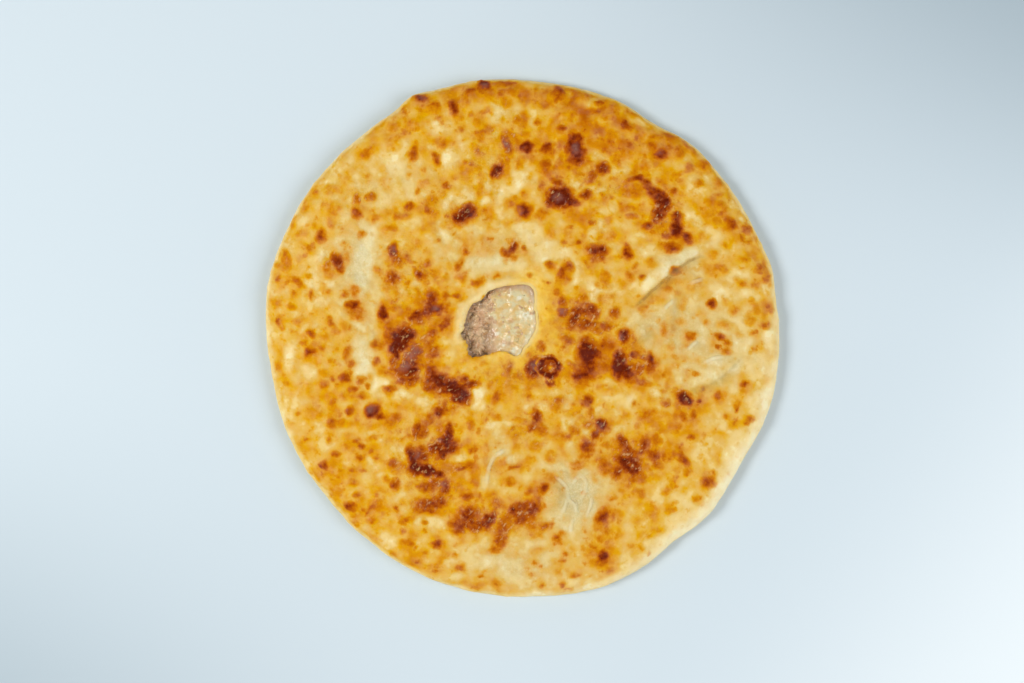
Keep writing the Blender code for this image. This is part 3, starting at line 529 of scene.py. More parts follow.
# Pale patches, read the same way: across, down, length, width, turn, and how much paler. Most are
# paler dough, and some are painted highlights where the side of a blister catches the light
PALE = (
    # upper left
    (446, 157, 16, 10, 80, 0.4), (436, 128, 16, 12, 90, 0.22), (393, 163, 22, 16, 0, 0.22),
    (407, 180, 14, 14, 0, 0.22), (385, 205, 12, 10, 0, 0.18), (333, 191, 26, 14, 170, 0.3),
    (368, 236, 28, 14, 60, 0.35), (365, 262, 44, 16, 85, 0.4), (353, 263, 20, 16, 90, 0.3),
    (362, 287, 20, 16, 90, 0.32), (376, 290, 16, 12, 90, 0.2), (311, 263, 16, 14, 0, 0.15),
    (352, 320, 30, 7, 145, 0.28), (443, 226, 24, 9, 110, 0.35), (448, 199, 18, 7, 75, 0.32),
    (487, 184, 16, 9, 90, 0.3), (485, 201, 10, 8, 0, 0.35), (500, 205, 22, 12, 90, 0.2),
    (519, 173, 30, 14, 85, 0.35), (520, 226, 16, 10, 0, 0.32), (508, 117, 12, 8, 90, 0.3),
    (497, 133, 9, 6, 90, 0.3), (472, 121, 12, 12, 0, 0.15), (478, 262, 36, 16, 15, 0.3),
    (463, 277, 18, 12, 0, 0.25), (500, 264, 30, 14, 0, 0.22),
    # upper right
    (534, 110, 14, 14, 0, 0.3), (596, 156, 12, 12, 0, 0.12), (616, 167, 16, 8, 0, 0.2),
    (567, 177, 14, 8, 0, 0.2), (610, 187, 14, 10, 0, 0.2), (597, 223, 10, 10, 0, 0.3),
    (604, 211, 14, 8, 0, 0.2), (627, 217, 12, 8, 0, 0.2), (540, 248, 24, 20, 0, 0.25),
    (547, 230, 24, 12, 30, 0.18), (600, 282, 40, 14, 10, 0.22), (544, 264, 12, 8, 90, 0.25),
    (572, 276, 18, 10, 90, 0.25), (706, 236, 24, 16, 20, 0.35), (690, 222, 14, 10, 90, 0.2),
    (698, 282, 24, 12, 20, 0.35), (680, 299, 24, 20, 60, 0.28), (700, 325, 22, 14, 0, 0.3),
    (726, 327, 18, 14, 0, 0.28), (740, 322, 14, 10, 0, 0.25), (730, 210, 14, 12, 0, 0.2),
    (644, 324, 20, 10, 50, 0.22), (745, 292, 10, 8, 0, 0.2), (640, 122, 26, 7, 150, 0.25),
    # lower left
    (366, 353, 32, 14, 85, 0.4), (361, 372, 14, 12, 90, 0.25), (311, 377, 14, 12, 0, 0.2),
    (380, 383, 18, 14, 0, 0.45), (359, 398, 14, 8, 0, 0.22), (369, 463, 16, 12, 80, 0.25),
    (366, 478, 14, 12, 0, 0.25), (402, 455, 12, 10, 45, 0.25), (398, 491, 18, 12, 90, 0.2),
    (418, 520, 20, 14, 0, 0.3), (403, 394, 20, 9, 0, 0.25), (423, 401, 14, 10, 0, 0.3),
    (452, 372, 24, 6, 165, 0.25), (478, 394, 18, 9, 85, 0.45), (478, 406, 14, 10, 0, 0.35),
    (487, 385, 10, 8, 0, 0.3), (491, 424, 14, 10, 45, 0.4), (479, 430, 14, 8, 90, 0.25),
    (499, 424, 26, 16, 0, 0.2), (487, 462, 34, 8, 80, 0.10), (503, 452, 14, 8, 20, 0.14),
    (511, 460, 10, 8, 0, 0.3), (484, 482, 20, 8, 80, 0.3), (459, 457, 16, 8, 20, 0.25),
    (467, 556, 26, 18, 0, 0.2), (490, 562, 30, 14, 0, 0.10), (512, 568, 24, 14, 90, 0.25),
    (514, 551, 30, 18, 0, 0.12), (457, 578, 14, 8, 0, 0.25), (500, 484, 20, 14, 0, 0.22),
    # lower right
    (612, 393, 24, 10, 0, 0.22), (656, 393, 10, 10, 0, 0.3), (667, 397, 10, 8, 90, 0.3),
    (588, 418, 24, 12, 20, 0.22), (568, 440, 12, 8, 0, 0.35), (586, 431, 10, 8, 45, 0.35),
    (546, 442, 24, 14, 0, 0.22), (546, 464, 20, 14, 0, 0.22), (537, 540, 26, 14, 0, 0.3),
    (709, 425, 20, 12, 0, 0.25), (702, 377, 32, 14, 10, 0.3), (715, 360, 22, 12, 0, 0.42),
    (740, 347, 26, 12, 40, 0.38), (735, 365, 24, 14, 40, 0.3), (673, 343, 20, 14, 50, 0.3),
    (694, 344, 16, 5, 60, 0.35), (740, 438, 24, 20, 0, 0.25),
    # between the marks of the three scorched groups
    (403, 503, 18, 14, 0, 0.25), (388, 436, 24, 8, 0, 0.2), (408, 446, 10, 8, 90, 0.2),
    (470, 458, 20, 10, 0, 0.2), (484, 490, 20, 8, 0, 0.2), (489, 517, 20, 8, 70, 0.45),
    (447, 508, 14, 10, 60, 0.2), (503, 437, 20, 14, 150, 0.2), (522, 452, 16, 10, 60, 0.15),
    (538, 407, 24, 9, 0, 0.42), (489, 541, 14, 14, 0, 0.32), (573, 526, 16, 10, 0, 0.25),
    (424, 410, 18, 8, 0, 0.15), (375, 306, 14, 10, 90, 0.25), (374, 332, 28, 9, 90, 0.25),
    (374, 367, 20, 12, 90, 0.35), (379, 394, 18, 16, 0, 0.4), (368, 406, 12, 12, 0, 0.3),
    (397, 323, 10, 10, 0, 0.25), (406, 330, 12, 10, 90, 0.2), (441, 343, 14, 10, 20, 0.35),
    (473, 396, 22, 12, 90, 0.50), (431, 294, 16, 8, 0, 0.3), (592, 300, 26, 12, 80, 0.45),
    (605, 288, 34, 12, 0, 0.3), (634, 318, 18, 12, 60, 0.3), (619, 332, 10, 10, 0, 0.35),
    (577, 349, 12, 8, 70, 0.3), (600, 322, 10, 8, 0, 0.3), (568, 384, 14, 10, 0, 0.25),
    (592, 386, 16, 8, 20, 0.3), (660, 351, 14, 8, 90, 0.3), (622, 386, 14, 8, 150, 0.25),
    (693, 352, 16, 16, 0, 0.3), (691, 308, 14, 12, 0, 0.2), (688, 330, 16, 10, 150, 0.2),
    # between the marks at the top and the left
    (492, 114, 20, 18, 0, 0.4), (425, 124, 16, 8, 100, 0.25), (447, 127, 16, 10, 0, 0.3),
    (466, 147, 12, 10, 0, 0.3), (406, 148, 16, 10, 60, 0.25), (554, 110, 14, 10, 0, 0.3),
    (568, 95, 12, 10, 90, 0.3), (594, 101, 18, 14, 0, 0.4), (590, 122, 18, 12, 60, 0.15),
    (507, 196, 24, 16, 0, 0.4), (557, 155, 12, 6, 90, 0.3), (569, 188, 10, 8, 0, 0.3),
    (625, 166, 14, 12, 0, 0.3), (613, 172, 14, 10, 0, 0.25), (650, 124, 24, 8, 150, 0.35),
    (682, 161, 16, 10, 20, 0.35), (695, 185, 24, 14, 80, 0.45), (678, 214, 10, 8, 0, 0.35),
    (622, 224, 18, 10, 0, 0.3), (616, 249, 18, 10, 0, 0.35), (650, 251, 14, 10, 80, 0.35),
    (737, 202, 16, 8, 130, 0.3), (745, 222, 12, 8, 120, 0.25), (352, 186, 12, 10, 0, 0.35),
    (315, 226, 20, 10, 90, 0.35), (283, 247, 12, 10, 90, 0.3), (333, 258, 14, 11, 0, 0.45),
    (378, 252, 8, 8, 0, 0.35), (313, 287, 18, 12, 100, 0.35), (321, 303, 16, 10, 0, 0.4),
    (347, 303, 14, 6, 0, 0.35), (308, 330, 16, 8, 0, 0.25), (413, 223, 22, 12, 10, 0.3),
    (446, 239, 22, 10, 160, 0.35), (452, 258, 12, 12, 0, 0.3), (391, 247, 12, 8, 0, 0.3),
    (428, 287, 18, 14, 140, 0.4), (402, 287, 12, 12, 0, 0.3), (532, 230, 24, 16, 0, 0.3),
    (515, 247, 8, 8, 0, 0.3), (570, 265, 22, 10, 0, 0.35),
    # between the marks below and at the right
    (321, 425, 24, 14, 0, 0.4), (344, 430, 12, 10, 0, 0.3), (350, 463, 14, 8, 0, 0.25),
    (376, 463, 16, 10, 150, 0.35), (350, 488, 14, 12, 0, 0.4), (388, 500, 14, 6, 110, 0.25),
    (415, 547, 12, 10, 0, 0.25), (632, 402, 20, 12, 60, 0.35), (658, 423, 16, 10, 0, 0.15),
    (568, 425, 16, 13, 90, 0.38), (619, 491, 18, 10, 160, 0.14), (573, 536, 22, 18, 0, 0.3),
    (628, 531, 16, 14, 0, 0.3), (671, 518, 20, 20, 0, 0.32), (652, 541, 28, 14, 20, 0.3),
    (627, 562, 20, 12, 100, 0.35), (560, 583, 34, 12, 0, 0.25), (741, 276, 20, 12, 150, 0.35),
    (767, 287, 14, 8, 90, 0.4), (727, 294, 26, 10, 165, 0.3), (711, 303, 10, 10, 0, 0.35),
    (771, 336, 26, 10, 90, 0.3), (727, 352, 12, 10, 90, 0.3), (758, 370, 24, 20, 0, 0.3),
    (754, 403, 24, 14, 80, 0.4), (754, 428, 20, 10, 100, 0.35), (722, 422, 16, 10, 100, 0.3),
    (707, 443, 20, 16, 0, 0.3), (735, 455, 24, 14, 30, 0.35), (697, 405, 12, 8, 0, 0.3),
    # more pale patches over the whole top
    (330, 188, 12, 10, 0, 0.25), (422, 182, 10, 8, 0, 0.30), (358, 227, 14, 12, 0, 0.20),
    (297, 218, 12, 22, 60, 0.20), (283, 247, 10, 20, 70, 0.20), (275, 265, 8, 20, 80, 0.20),
    (273, 305, 8, 30, 0, 0.20), (430, 292, 10, 8, 0, 0.20), (597, 191, 14, 12, 0, 0.35),
    (690, 218, 20, 16, 0, 0.35), (658, 190, 22, 10, 130, 0.25), (708, 184, 20, 14, 90, 0.25),
    (592, 240, 20, 10, 90, 0.30), (592, 307, 10, 8, 0, 0.40), (628, 253, 14, 8, 0, 0.25),
    (544, 122, 26, 8, 90, 0.20), (716, 301, 12, 10, 0, 0.30), (436, 523, 20, 14, 0, 0.28),
    (475, 580, 16, 10, 0, 0.25), (330, 446, 26, 12, 0, 0.25), (288, 362, 26, 10, 90, 0.25),
    (287, 398, 26, 8, 80, 0.20), (291, 413, 20, 8, 70, 0.20), (571, 448, 14, 10, 0, 0.28),
    (566, 470, 14, 12, 0, 0.30), (601, 413, 18, 12, 0, 0.25), (620, 430, 12, 9, 0, 0.28),
    (611, 379, 22, 12, 0, 0.28), (671, 408, 12, 12, 0, 0.30), (642, 461, 12, 12, 0, 0.28),
    (690, 500, 12, 24, 0, 0.30), (637, 512, 14, 12, 0, 0.28), (550, 526, 18, 12, 0, 0.25),
    (734, 386, 18, 16, 90, 0.22), (741, 414, 10, 10, 0, 0.24), (699, 455, 12, 12, 0, 0.22),
    (591, 514, 8, 12, 0, 0.22), (678, 375, 10, 16, 0, 0.25),
)
# Painted sheen, a grey-violet reflection on dry scorched skin: middle, length and width in pixels, and
# turn
PAINTED_SHEEN = (
    (414, 351, 24, 12, 60), (405, 366, 12, 10, 30), (436, 308, 9, 7, 20), (417, 455, 9, 7, 60),
    (536, 365, 12, 9, 90), (371, 408, 8, 7, 0), (518, 210, 10, 8, 0), (576, 148, 12, 7, 90),
    (659, 153, 7, 6, 0), (507, 143, 16, 5, 110), (484, 86, 8, 5, 20), (619, 337, 8, 7, 0),
    (641, 357, 9, 7, 30), (563, 311, 8, 6, 90), (441, 485, 14, 8, 70), (498, 513, 20, 5, 70),
    (422, 98, 8, 5, 0), (558, 198, 9, 7, 0), (394, 250, 7, 6, 0), (598, 429, 10, 4, 45),
)
# Parts where butter lies wet on the crisp, finely blistered skin; the top is smooth and dull off them
WET = (
    (412, 352, 84, 40, 75), (425, 465, 100, 66, 100), (450, 396, 70, 34, 0), (505, 522, 96, 40, 0),
    (545, 366, 44, 40, 0), (590, 318, 76, 54, 20), (637, 352, 54, 34, 90), (666, 214, 44, 26, 60),
    (630, 460, 54, 54, 0), (585, 427, 56, 34, 0), (560, 400, 24, 20, 0), (674, 396, 54, 26, 0),
    (500, 376, 76, 30, 0), (555, 197, 30, 22, 0), (597, 238, 64, 22, 90), (515, 246, 28, 20, 0),
    (485, 170, 64, 34, 90), (450, 205, 64, 34, 150), (505, 135, 54, 34, 90), (405, 275, 66, 44, 100),
    (332, 258, 24, 20, 0), (600, 180, 60, 40, 0), (365, 195, 40, 26, 0), (470, 330, 60, 26, 90),
    (530, 430, 44, 36, 0), (560, 470, 30, 26, 0),
)
# Broad parts of the top that are browner or paler: the middle across and up from the pie's middle
# in millimetres, the reach across and up, and how much
BROWNER = (
    (60, 139, 85, 32, 0.22),
    (102, 96, 45, 40, 0.06),
    (147, 51, 14, 22, 0.15),
    (-74, 99, 25, 12, -0.10),
    (-105, 45, 20, 35, -0.12),
    (108, -104, 30, 25, -0.12),
    (80, -60, 45, 45, 0.07),
    (23, -140, 60, 18, -0.01),
    (108, 42, 30, 25, -0.08),
    (120, -1, 35, 30, -0.05),
    (-8, 50, 30, 15, -0.08),
    (-65, 8, 35, 30, 0.15),
    (-111, -86, 25, 30, 0.08),
    (96, -47, 25, 15, 0.06),
    (41, 4, 22, 20, 0.12),
    (2, 11, 14, 18, 0.14),
    (85, -1, 20, 14, 0.09),
    (-38, -82, 24, 20, 0.14),
    (0, -60, 18, 35, 0.07),
    (85, -122, 22, 16, 0.09),
    (97, -98, 20, 18, -0.06),
    (24, -98, 18, 18, -0.08),
    (-146, 23, 12, 20, -0.10),
    (-49, 120, 22, 14, -0.06),
    (-146, -74, 14, 20, 0.05),
    (38, -123, 30, 12, 0.05),
)
# Parts where the sheet is stretched thin and the grey-white filling shows through, in the same way
THIN = (
    (-100, 42, 12, 30, 0.70),
    (-20, 51, 28, 14, 0.50),
    (32, -96, 18, 21, 0.95),
    (-5, -137, 32, 14, 0.50),
    (96, 45, 14, 10, 0.50),
    (108, -4, 30, 28, 0.45),
    (80, 8, 18, 12, 0.40),
    (-14, -72, 12, 16, 0.30),
    (41, -55, 18, 9, 0.20),
    (-74, 96, 20, 10, 0.25),
    (-98, -10, 8, 20, 0.40),
)
BASE_TONE = 0.46  # how brown the top is on the whole
FRECKLES = 90
FRECKLE_SIZES = (2.0, 4.6)  # in millimetres
SCORCHED_FROM = 0.45  # how brown a mark's middle is before it begins to scorch
FUSING = 6  # how fully two scorched marks that touch run into one
# The size of a pixel on the top sheet, which is nearer to the camera than the rim's widest line
TOP_PIXEL = PIXEL * (camera.location.z - PIE_HEIGHT) / (camera.location.z - WIDEST_LEVEL)


def seen_at(across, down):
    """Where a point of the photograph lies on the top sheet."""
    seen_x = camera.location.x + (across - FRAME_MIDDLE[0]) * TOP_PIXEL
    return seen_x, camera.location.y + (FRAME_MIDDLE[1] - down) * TOP_PIXEL


def patches(x, y, places):
    """Sum of soft oval patches."""
    total = np.zeros_like(x)
    for across, up, reach_x, reach_y, amount in places:
        away = np.hypot((x - across * MM) / (reach_x * MM), (y - up * MM) / (reach_y * MM))
        total += amount * hump(away, 1.0)
    return total


def off_oval(middle, length, width, degrees):
    """How far each place is from the middle of a turned oval, where 1 is on its edge."""
    turn = math.radians(degrees)
    away_x = wobbly_x - middle[0]
    away_y = wobbly_y - middle[1]
    along = away_x * math.cos(turn) + away_y * math.sin(turn)
    across = away_y * math.cos(turn) - away_x * math.sin(turn)
    return np.hypot(along / (0.5 * length), across / (0.5 * width))


def real_oval(across, down, length, width, turn):
    """An oval of the photograph at its place and size on the top sheet."""
    return seen_at(across, down), length * TOP_PIXEL, width * TOP_PIXEL, turn


def in_ovals(ovals, core):
    """1 inside the core of any of the ovals, falling off past its edge."""
    share = np.zeros_like(x)
    for oval in ovals:
        share = np.maximum(share, smooth_step(1.5, core, off_oval(*real_oval(*oval))))
    return share


# Places are pushed about a little, so that no mark keeps an even oval edge
wobbly_x = x + MM * (1.8 * bumps(x, y, 7 * MM, 11.0) + 0.8 * bumps(x, y, 2.8 * MM, 12.0))
wobbly_y = y + MM * (1.8 * bumps(x, y, 7 * MM, 13.0) + 0.8 * bumps(x, y, 2.8 * MM, 14.0))

thin = np.clip(patches(x, y, THIN), 0.0, 1.0)
tone = np.clip(BASE_TONE + patches(x, y, BROWNER) - 0.12 * thin, 0.05, 0.75)
clouds = 0.18 * bumps(x, y, 16 * MM, 21.0) + 0.24 * bumps(x, y, 8 * MM, 22.0)
browned = np.clip(tone + clouds, 0.02, 0.8)
for *oval, paler in PALE:
    browned -= paler * smooth_step(1.6, 0.4, off_oval(*real_oval(*oval)))
bloom = in_ovals(PAINTED_SHEEN, 0.3)
wet = in_ovals(WET, 0.5)

draw = random.Random(5)
spots = []
while len(spots) < FRECKLES:
    spot_x = draw.uniform(-RIM_RADIUS, RIM_RADIUS)
    spot_y = draw.uniform(-RIM_RADIUS, RIM_RADIUS)
    size = draw.uniform(*FRECKLE_SIZES) * MM
    here = np.array([spot_x]), np.array([spot_y])
    likely = BASE_TONE + patches(*here, BROWNER)[0] - 0.5 * patches(*here, THIN)[0]
    if math.hypot(spot_x, spot_y) < 0.97 * RIM_RADIUS and draw.random() < 1.4 * likely:
        shape = draw.uniform(0.6, 1.0)
        freckle = (spot_x, spot_y), size, size * shape, draw.uniform(0, 180)
        spots.append((freckle, likely + 0.16))
for *oval, toast in MARKS:
    spots.append((real_oval(*oval), toast))

blisters = np.zeros_like(x)
scorch = np.zeros_like(x)  # 0 off the marks and up to 1 in the middle of a black one
for oval, toast in spots:
    distance = off_oval(*oval)
    length = oval[1]
    ring = 0.26 + 0.40 * toast
    reach = 0.42 + 0.20 * toast + 2.2 * MM / length
    halo = 0.85 * hump(np.maximum(distance - 0.8, 0.0), reach)
    browned += np.maximum(ring - browned, 0.0) * halo
    rise = min(0.35 * MM + 0.08 * length, 1.3 * MM) * toast
    blisters = np.maximum(blisters, rise * smooth_step(1.3, 0.3, distance))
    core = 0.45 * toast**2  # the browner a mark is, the wider its even middle
    scorched = max(toast - SCORCHED_FROM, 0.0) / (1.0 - SCORCHED_FROM)
    scorch += (scorched * smooth_step(1.85, core, distance)) ** FUSING
scorch = np.minimum(scorch ** (1.0 / FUSING), 1.0)

# ---- The crust: its folds, lip and fine relief ----
# The sheet was pleated when it was closed, and the pleats baked flat as low folds with a steep
# side. Curds of the filling press through it, and round the vent it is rolled, torn and stretched.

# Each fold is a line of places from the pie's middle, and its height, all in millimetres
FOLDS = (
    (((67, 22), (71, 25), (77, 31), (84, 37), (90, 42), (95, 46), (101, 50), (107, 52), (114, 52)), 2.8),
    (((101, -30), (112, -27), (122, -21), (129, -13), (134, -8)), 1.3),
    (((117, -13), (129, -9)), 0.8),
    (((102, -5), (107, -1)), 0.8),
    (((88.5, 2), (91, 20), (93.5, 33)), 0.8),
    (((102, 32), (109, 36)), 0.6),
    (((68, -1), (79, 7)), 1.0),
    (((-98, -2), (-89, 4)), 0.6),
    (((-117, 90), (-108, 85)), 0.5),
    (((-51, 72), (-44, 55)), 0.7),
    (((-22, -71), (-14, -80)), 0.6),
    (((-21, -85), (-23, -94)), 0.6),
    (((20, -84), (27, -91), (23, -107)), 0.9),
    (((27, -91), (33, -111)), 0.7),
)
# Thin raised wrinkles, each a line of places in the photograph's pixels
WRINKLES = (
    ((557, 478), (563, 483), (567, 488), (568, 499), (564, 509), (557, 519)),
    ((568, 499), (575, 505), (577, 514)),
    ((573, 483), (577, 477), (582, 476), (586, 483), (586, 490), (580, 500)),
    ((592, 498), (589, 508), (586, 517)),
    ((572, 521), (570, 532)),
    ((504, 450), (495, 456), (489, 467), (486, 484)),
    ((705, 362), (714, 358), (723, 357)),
    ((688, 349), (697, 341)),
    ((690, 283), (703, 279)),
    ((664, 309), (674, 300)),
)
FOOT_SHARE = 0.42  # how far a fold's foot lies from its line, as a share of its width
STEEP_SHARE = 0.30  # how wide a fold's steep side is, as a share of the other one
WRINKLE_WIDTH = 1.0 * MM
FALLEN_BLISTER = (549, 367)  # its middle in the photograph's pixels
RING_RADIUS = 5.0 * MM  # from its middle to the dark ring round it
# Directions in degrees, as they are seen from the vent
ROLLED_TOWARDS = 135.0  # the lip is thick and rolled up
DRAWN_TOWARDS = 5.0  # the lip is drawn down thin
FLAP_TOWARDS = 283.0  # a short flap of the lip stands up
PALEST_TOWARDS = 322.0  # the rim is palest


def nearest_of(lines):
    """Of several lines, how far the nearest one and its foot are from each place, and how whole."""
    least = np.full_like(x, 1.0)
    foot = np.full_like(x, 1.0)
    whole = np.zeros_like(x)
    for line_away, line_foot, line_whole in lines:
        closer = line_away < least
        least = np.where(closer, line_away, least)
        foot = np.where(closer, line_foot, foot)
        whole = np.where(closer, line_whole, whole)
    return least, foot, whole


def fold_shape(line, width):
    """A fold's height from 0 to 1, how far its line and its foot are, and how whole it is there."""
    height = np.zeros_like(x)
    parts = []
    reach = sum(math.dist(start, end) for start, end in zip(line, line[1:])) * MM
    done = 0.0
    for start, end in zip(line, line[1:]):
        run_x = (end[0] - start[0]) * MM
        run_y = (end[1] - start[1]) * MM
        length = math.hypot(run_x, run_y)
        from_x = bent_x - start[0] * MM
        from_y = bent_y - start[1] * MM
        nearest = np.clip((from_x * run_x + from_y * run_y) / length, 0.0, length)
        off_x = from_x - run_x * nearest / length
        off_y = from_y - run_y * nearest / length
        side = np.sign(run_x * off_y - run_y * off_x)
        away = np.hypot(off_x, off_y)
        share = (done + nearest) / reach
        ending = smooth_step(1.02, 0.75, share)
        slope = np.where(side > 0.0, width, STEEP_SHARE * width)
        height = np.maximum(height, smooth_step(-0.02, 0.25, share) * ending * hump(away, slope))
        whole = smooth_step(-0.02, 0.07, share) * ending
        parts.append((away, side * away + FOOT_SHARE * width, whole))
        done += length
    return height, *nearest_of(parts)


# The folds, the crack along the foot of each, and painted shade along that foot
bent_x = x + 0.45 * MM * bumps(x, y, 7 * MM, 11.0)
bent_y = y + 0.45 * MM * bumps(x, y, 7 * MM, 13.0)
folds = np.zeros_like(x)
crease = np.zeros_like(x)
fold_lines = []
for line, rise in FOLDS:
    height, away, foot, whole = fold_shape(line, (2.5 + 1.6 * rise) * MM)
    folds = np.maximum(folds, rise * MM * height)
    fold_shade_strength = min(rise / 1.3, 1.0) * whole
    crease = np.maximum(crease, fold_shade_strength * hump(foot + 1.0 * MM, 2.8 * MM))
    fold_lines.append((away, foot, min((rise / 2.2) ** 3, 1.0) * whole))
off_crack, crack_strength = nearest_of(fold_lines)[1:]
crack_strength *= smooth_step(3.4 * MM, 2.2 * MM, np.abs(off_crack))
cracks = crack_strength * hump(off_crack, 1.5 * MM)
# Painted highlight: the tops of the higher folds are paler.
browned = browned * (1.0 - 0.85 * smooth_step(0.9 * MM, 2.5 * MM, folds))

wrinkle_lines = []
for line in WRINKLES:
    places = [seen_at(across, down) for across, down in line]
    places = [(place_x / MM, place_y / MM) for place_x, place_y in places]
    away, foot, whole = fold_shape(places, WRINKLE_WIDTH)[1:]
    wrinkle_lines.append((away, foot - FOOT_SHARE * WRINKLE_WIDTH, np.sqrt(whole)))
nearest_wrinkle, off_wrinkle, wrinkle_strength = nearest_of(wrinkle_lines)
wrinkle_strength *= smooth_step(2.6 * MM, 1.6 * MM, nearest_wrinkle)
wrinkle_strength *= np.clip(0.8 + 0.7 * bumps(x, y, 5 * MM, 62.0), 0.2, 1.0)

# Curds and lumps of the filling show through the sheet, and scorched blisters are finely bubbled
curds = 1.00 * bumps(x, y, 9 * MM, 31.0, z) + 0.62 * bumps(x, y, 4.6 * MM, 32.0, z)
curds += 0.20 * bumps(x, y, 2.6 * MM, 33.0, z)
curds *= MM * (1.0 + 0.9 * thin)
bubbles = np.abs(bumps(x, y, 3.6 * MM, 41.0)) * 1.3 * MM * smooth_step(0.15, 0.70, scorch)

# The lip: thick and rolled up at the left and the top, drawn down thin at the right
rolled = smooth_step(95.0, 55.0, np.abs(turned_from(angle, ROLLED_TOWARDS)))
drawn = smooth_step(80.0, 45.0, np.abs(turned_from(angle, DRAWN_TOWARDS)))
lip = 1.1 * MM * rolled * hump(from_vent - 3.4 * MM, 2.4 * MM)
lip -= 0.7 * MM * rolled * hump(from_vent - 8.2 * MM, 2.8 * MM)
lip -= 1.5 * MM * drawn * hump(from_vent, 5.0 * MM)
ripple = np.sin(2.0 * math.pi * (from_vent + 2.2 * MM * bumps(x, y, 8 * MM, 51.0)) / (3.4 * MM))
lip += 0.34 * MM * ripple * drawn * hump(from_vent - 7.5 * MM, 4.5 * MM)
flap = hump(turned_from(angle, FLAP_TOWARDS), 13.0)
lip += 1.1 * MM * flap * hump(from_vent, 2.6 * MM)

# One blister near the vent fell in again and left a dark ring
ring_x, ring_y = seen_at(*FALLEN_BLISTER)
ring_away = np.hypot(wobbly_x - ring_x, wobbly_y - ring_y)
blisters *= 1.0 - smooth_step(RING_RADIUS + 3.0 * MM, RING_RADIUS, ring_away)
blisters += 0.95 * MM * hump(ring_away - RING_RADIUS, 1.7 * MM)
bubbles *= smooth_step(6.0 * MM, 9.0 * MM, ring_away)
ring_scorch = 0.95 * hump(ring_away - RING_RADIUS, 2.6 * MM)
scorch = np.where(ring_away < RING_RADIUS + 3.0 * MM, ring_scorch, scorch)
browned += (0.88 - browned) * smooth_step(6.0 * MM, 3.0 * MM, ring_away)
spot_away = np.hypot(x - ring_x - 1.2 * MM, y - ring_y + 0.4 * MM)
browned -= 0.30 * hump(spot_away, 1.5 * MM)

# All of the relief pushes the points outwards. Only the top carries more than curds and waves
waves = 0.25 * MM * bumps(x, y, 17 * MM, 61.0, z) * smooth_step(0.9, 1.0, share_out)
top_side = smooth_step(0.15, 0.6, facing[2])
raised = folds + blisters + bubbles + lip - 0.35 * MM * cracks
raised += 0.6 * MM * wrinkle_strength * hump(off_wrinkle, 1.1 * MM)
swell = (curds * (0.3 + 0.7 * top_side) + waves) * outer + raised * outer * top_side
x = x + facing[0] * swell
y = y + facing[1] * swell
z = z + facing[2] * swell

# The underside lies flat, with broad shallow hollows where steam lifted it off the baking pan
hollows = smooth_step(0.12, 0.55, bumps(x, y, 40 * MM, 71.0)) * 0.4 * MM
z = np.where(level < 0.01 * MM, hollows * (turned_radius < 0.93 * RIM_RADIUS), z)
move_points(crust, x, y, z)

# Colour away from the top: cream on the rim's side and the rolled lip, buttery yellow where the
# lip is drawn thin. The underside takes none of the top's marks, and its material browns it evenly
side = smooth_step(0.72, 0.30, facing[2]) * (turned_radius > RIM_RADIUS - SHOULDER_WIDTH)
side = np.maximum(side, smooth_step(0.988, 0.998, share_out))
palest = turned_from(angle, PALEST_TOWARDS)
pale_band = 0.018 + 0.054 * hump(palest, 32.0)
pale_band += 0.014 * hump(turned_from(angle, 197.0), 24.0)
near_rim = smooth_step(1.0 - 1.3 * pale_band, 1.0 - 0.3 * pale_band, share_out)
browned *= 1.0 - 0.75 * np.maximum(side, 0.85 * near_rim)
under = smooth_step(0.30 * WIDEST_LEVEL, 0.0, level) * (facing[2] < 0.0)
lip_pale = rolled * hump(from_vent - 2.0 * MM, 4.4 * MM)
browned *= 1.0 - 0.75 * lip_pale
butter = drawn * hump(from_vent - 4.0 * MM, 9.0 * MM)
butter += 0.8 * hump(turned_from(angle, 290.0), 60.0) * hump(from_vent - 3.0 * MM, 8.0 * MM)
butter = np.clip(butter, 0.0, 1.0)
browned = browned * (1.0 - 0.35 * drawn * hump(from_vent, 3.0 * MM))
store(crust, "browned", np.clip(browned, 0.0, 1.0))
store(crust, "under", under)
store(crust, "rim", np.maximum(side, lip_pale))
# Paler cream along the rim's edge, most towards the lower right.
store(crust, "blond", hump(palest, 34.0) * smooth_step(0.93, 0.99, share_out) * top_side)
store(crust, "off_crack", off_crack / MM)
store(crust, "off_wrinkle", off_wrinkle / MM)
for name, values in (
    ("scorch", scorch * (1.0 - 0.6 * side)),
    ("thin", thin * (1.0 - side)),
    ("bloom", bloom),
    ("wet", wet),
    ("butter", butter),
    ("melt", drawn * hump(from_vent + 0.3 * MM, 1.9 * MM)),
    ("crack", crack_strength),
    ("crease", crease),
    ("wrinkle", wrinkle_strength),
):
    store(crust, name, values * (1.0 - under))

# ---- The crust: its finish ----
# Oven heat turns the dough from cream over gold and orange to a dark, purplish brown, darkest on
# the blisters. Butter brushed on after baking lies on it as a thin glossy coat; its wet glints are
# painted highlights.

# The dough's colour from raw at 0 to charred at 1
BROWNING = (
    (0.0, (245, 224, 168)),
    (0.1, (241, 214, 150)),
    (0.2, (238, 204, 131)),
    (0.3, (234, 198, 119)),
    (0.4, (228, 182, 88)),
    (0.5, (227, 170, 56)),
    (0.6, (218, 146, 25)),
    (0.7, (203, 118, 5)),
    (0.8, (180, 87, 1)),
    (0.9, (146, 55, 1)),
    (1.0, (104, 27, 1)),
)
GLINT_TURN = 50.0  # degrees by which the glints lie slanted, across the light


def linear(colour):
    """The shader's colour for red, green and blue from 0 to 255."""
    parts = []
    for value in colour:
        part = value / 255.0
        parts.append(part / 12.92 if part <= 0.04045 else ((part + 0.055) / 1.055) ** 2.4)
    return (*parts, 1.0)


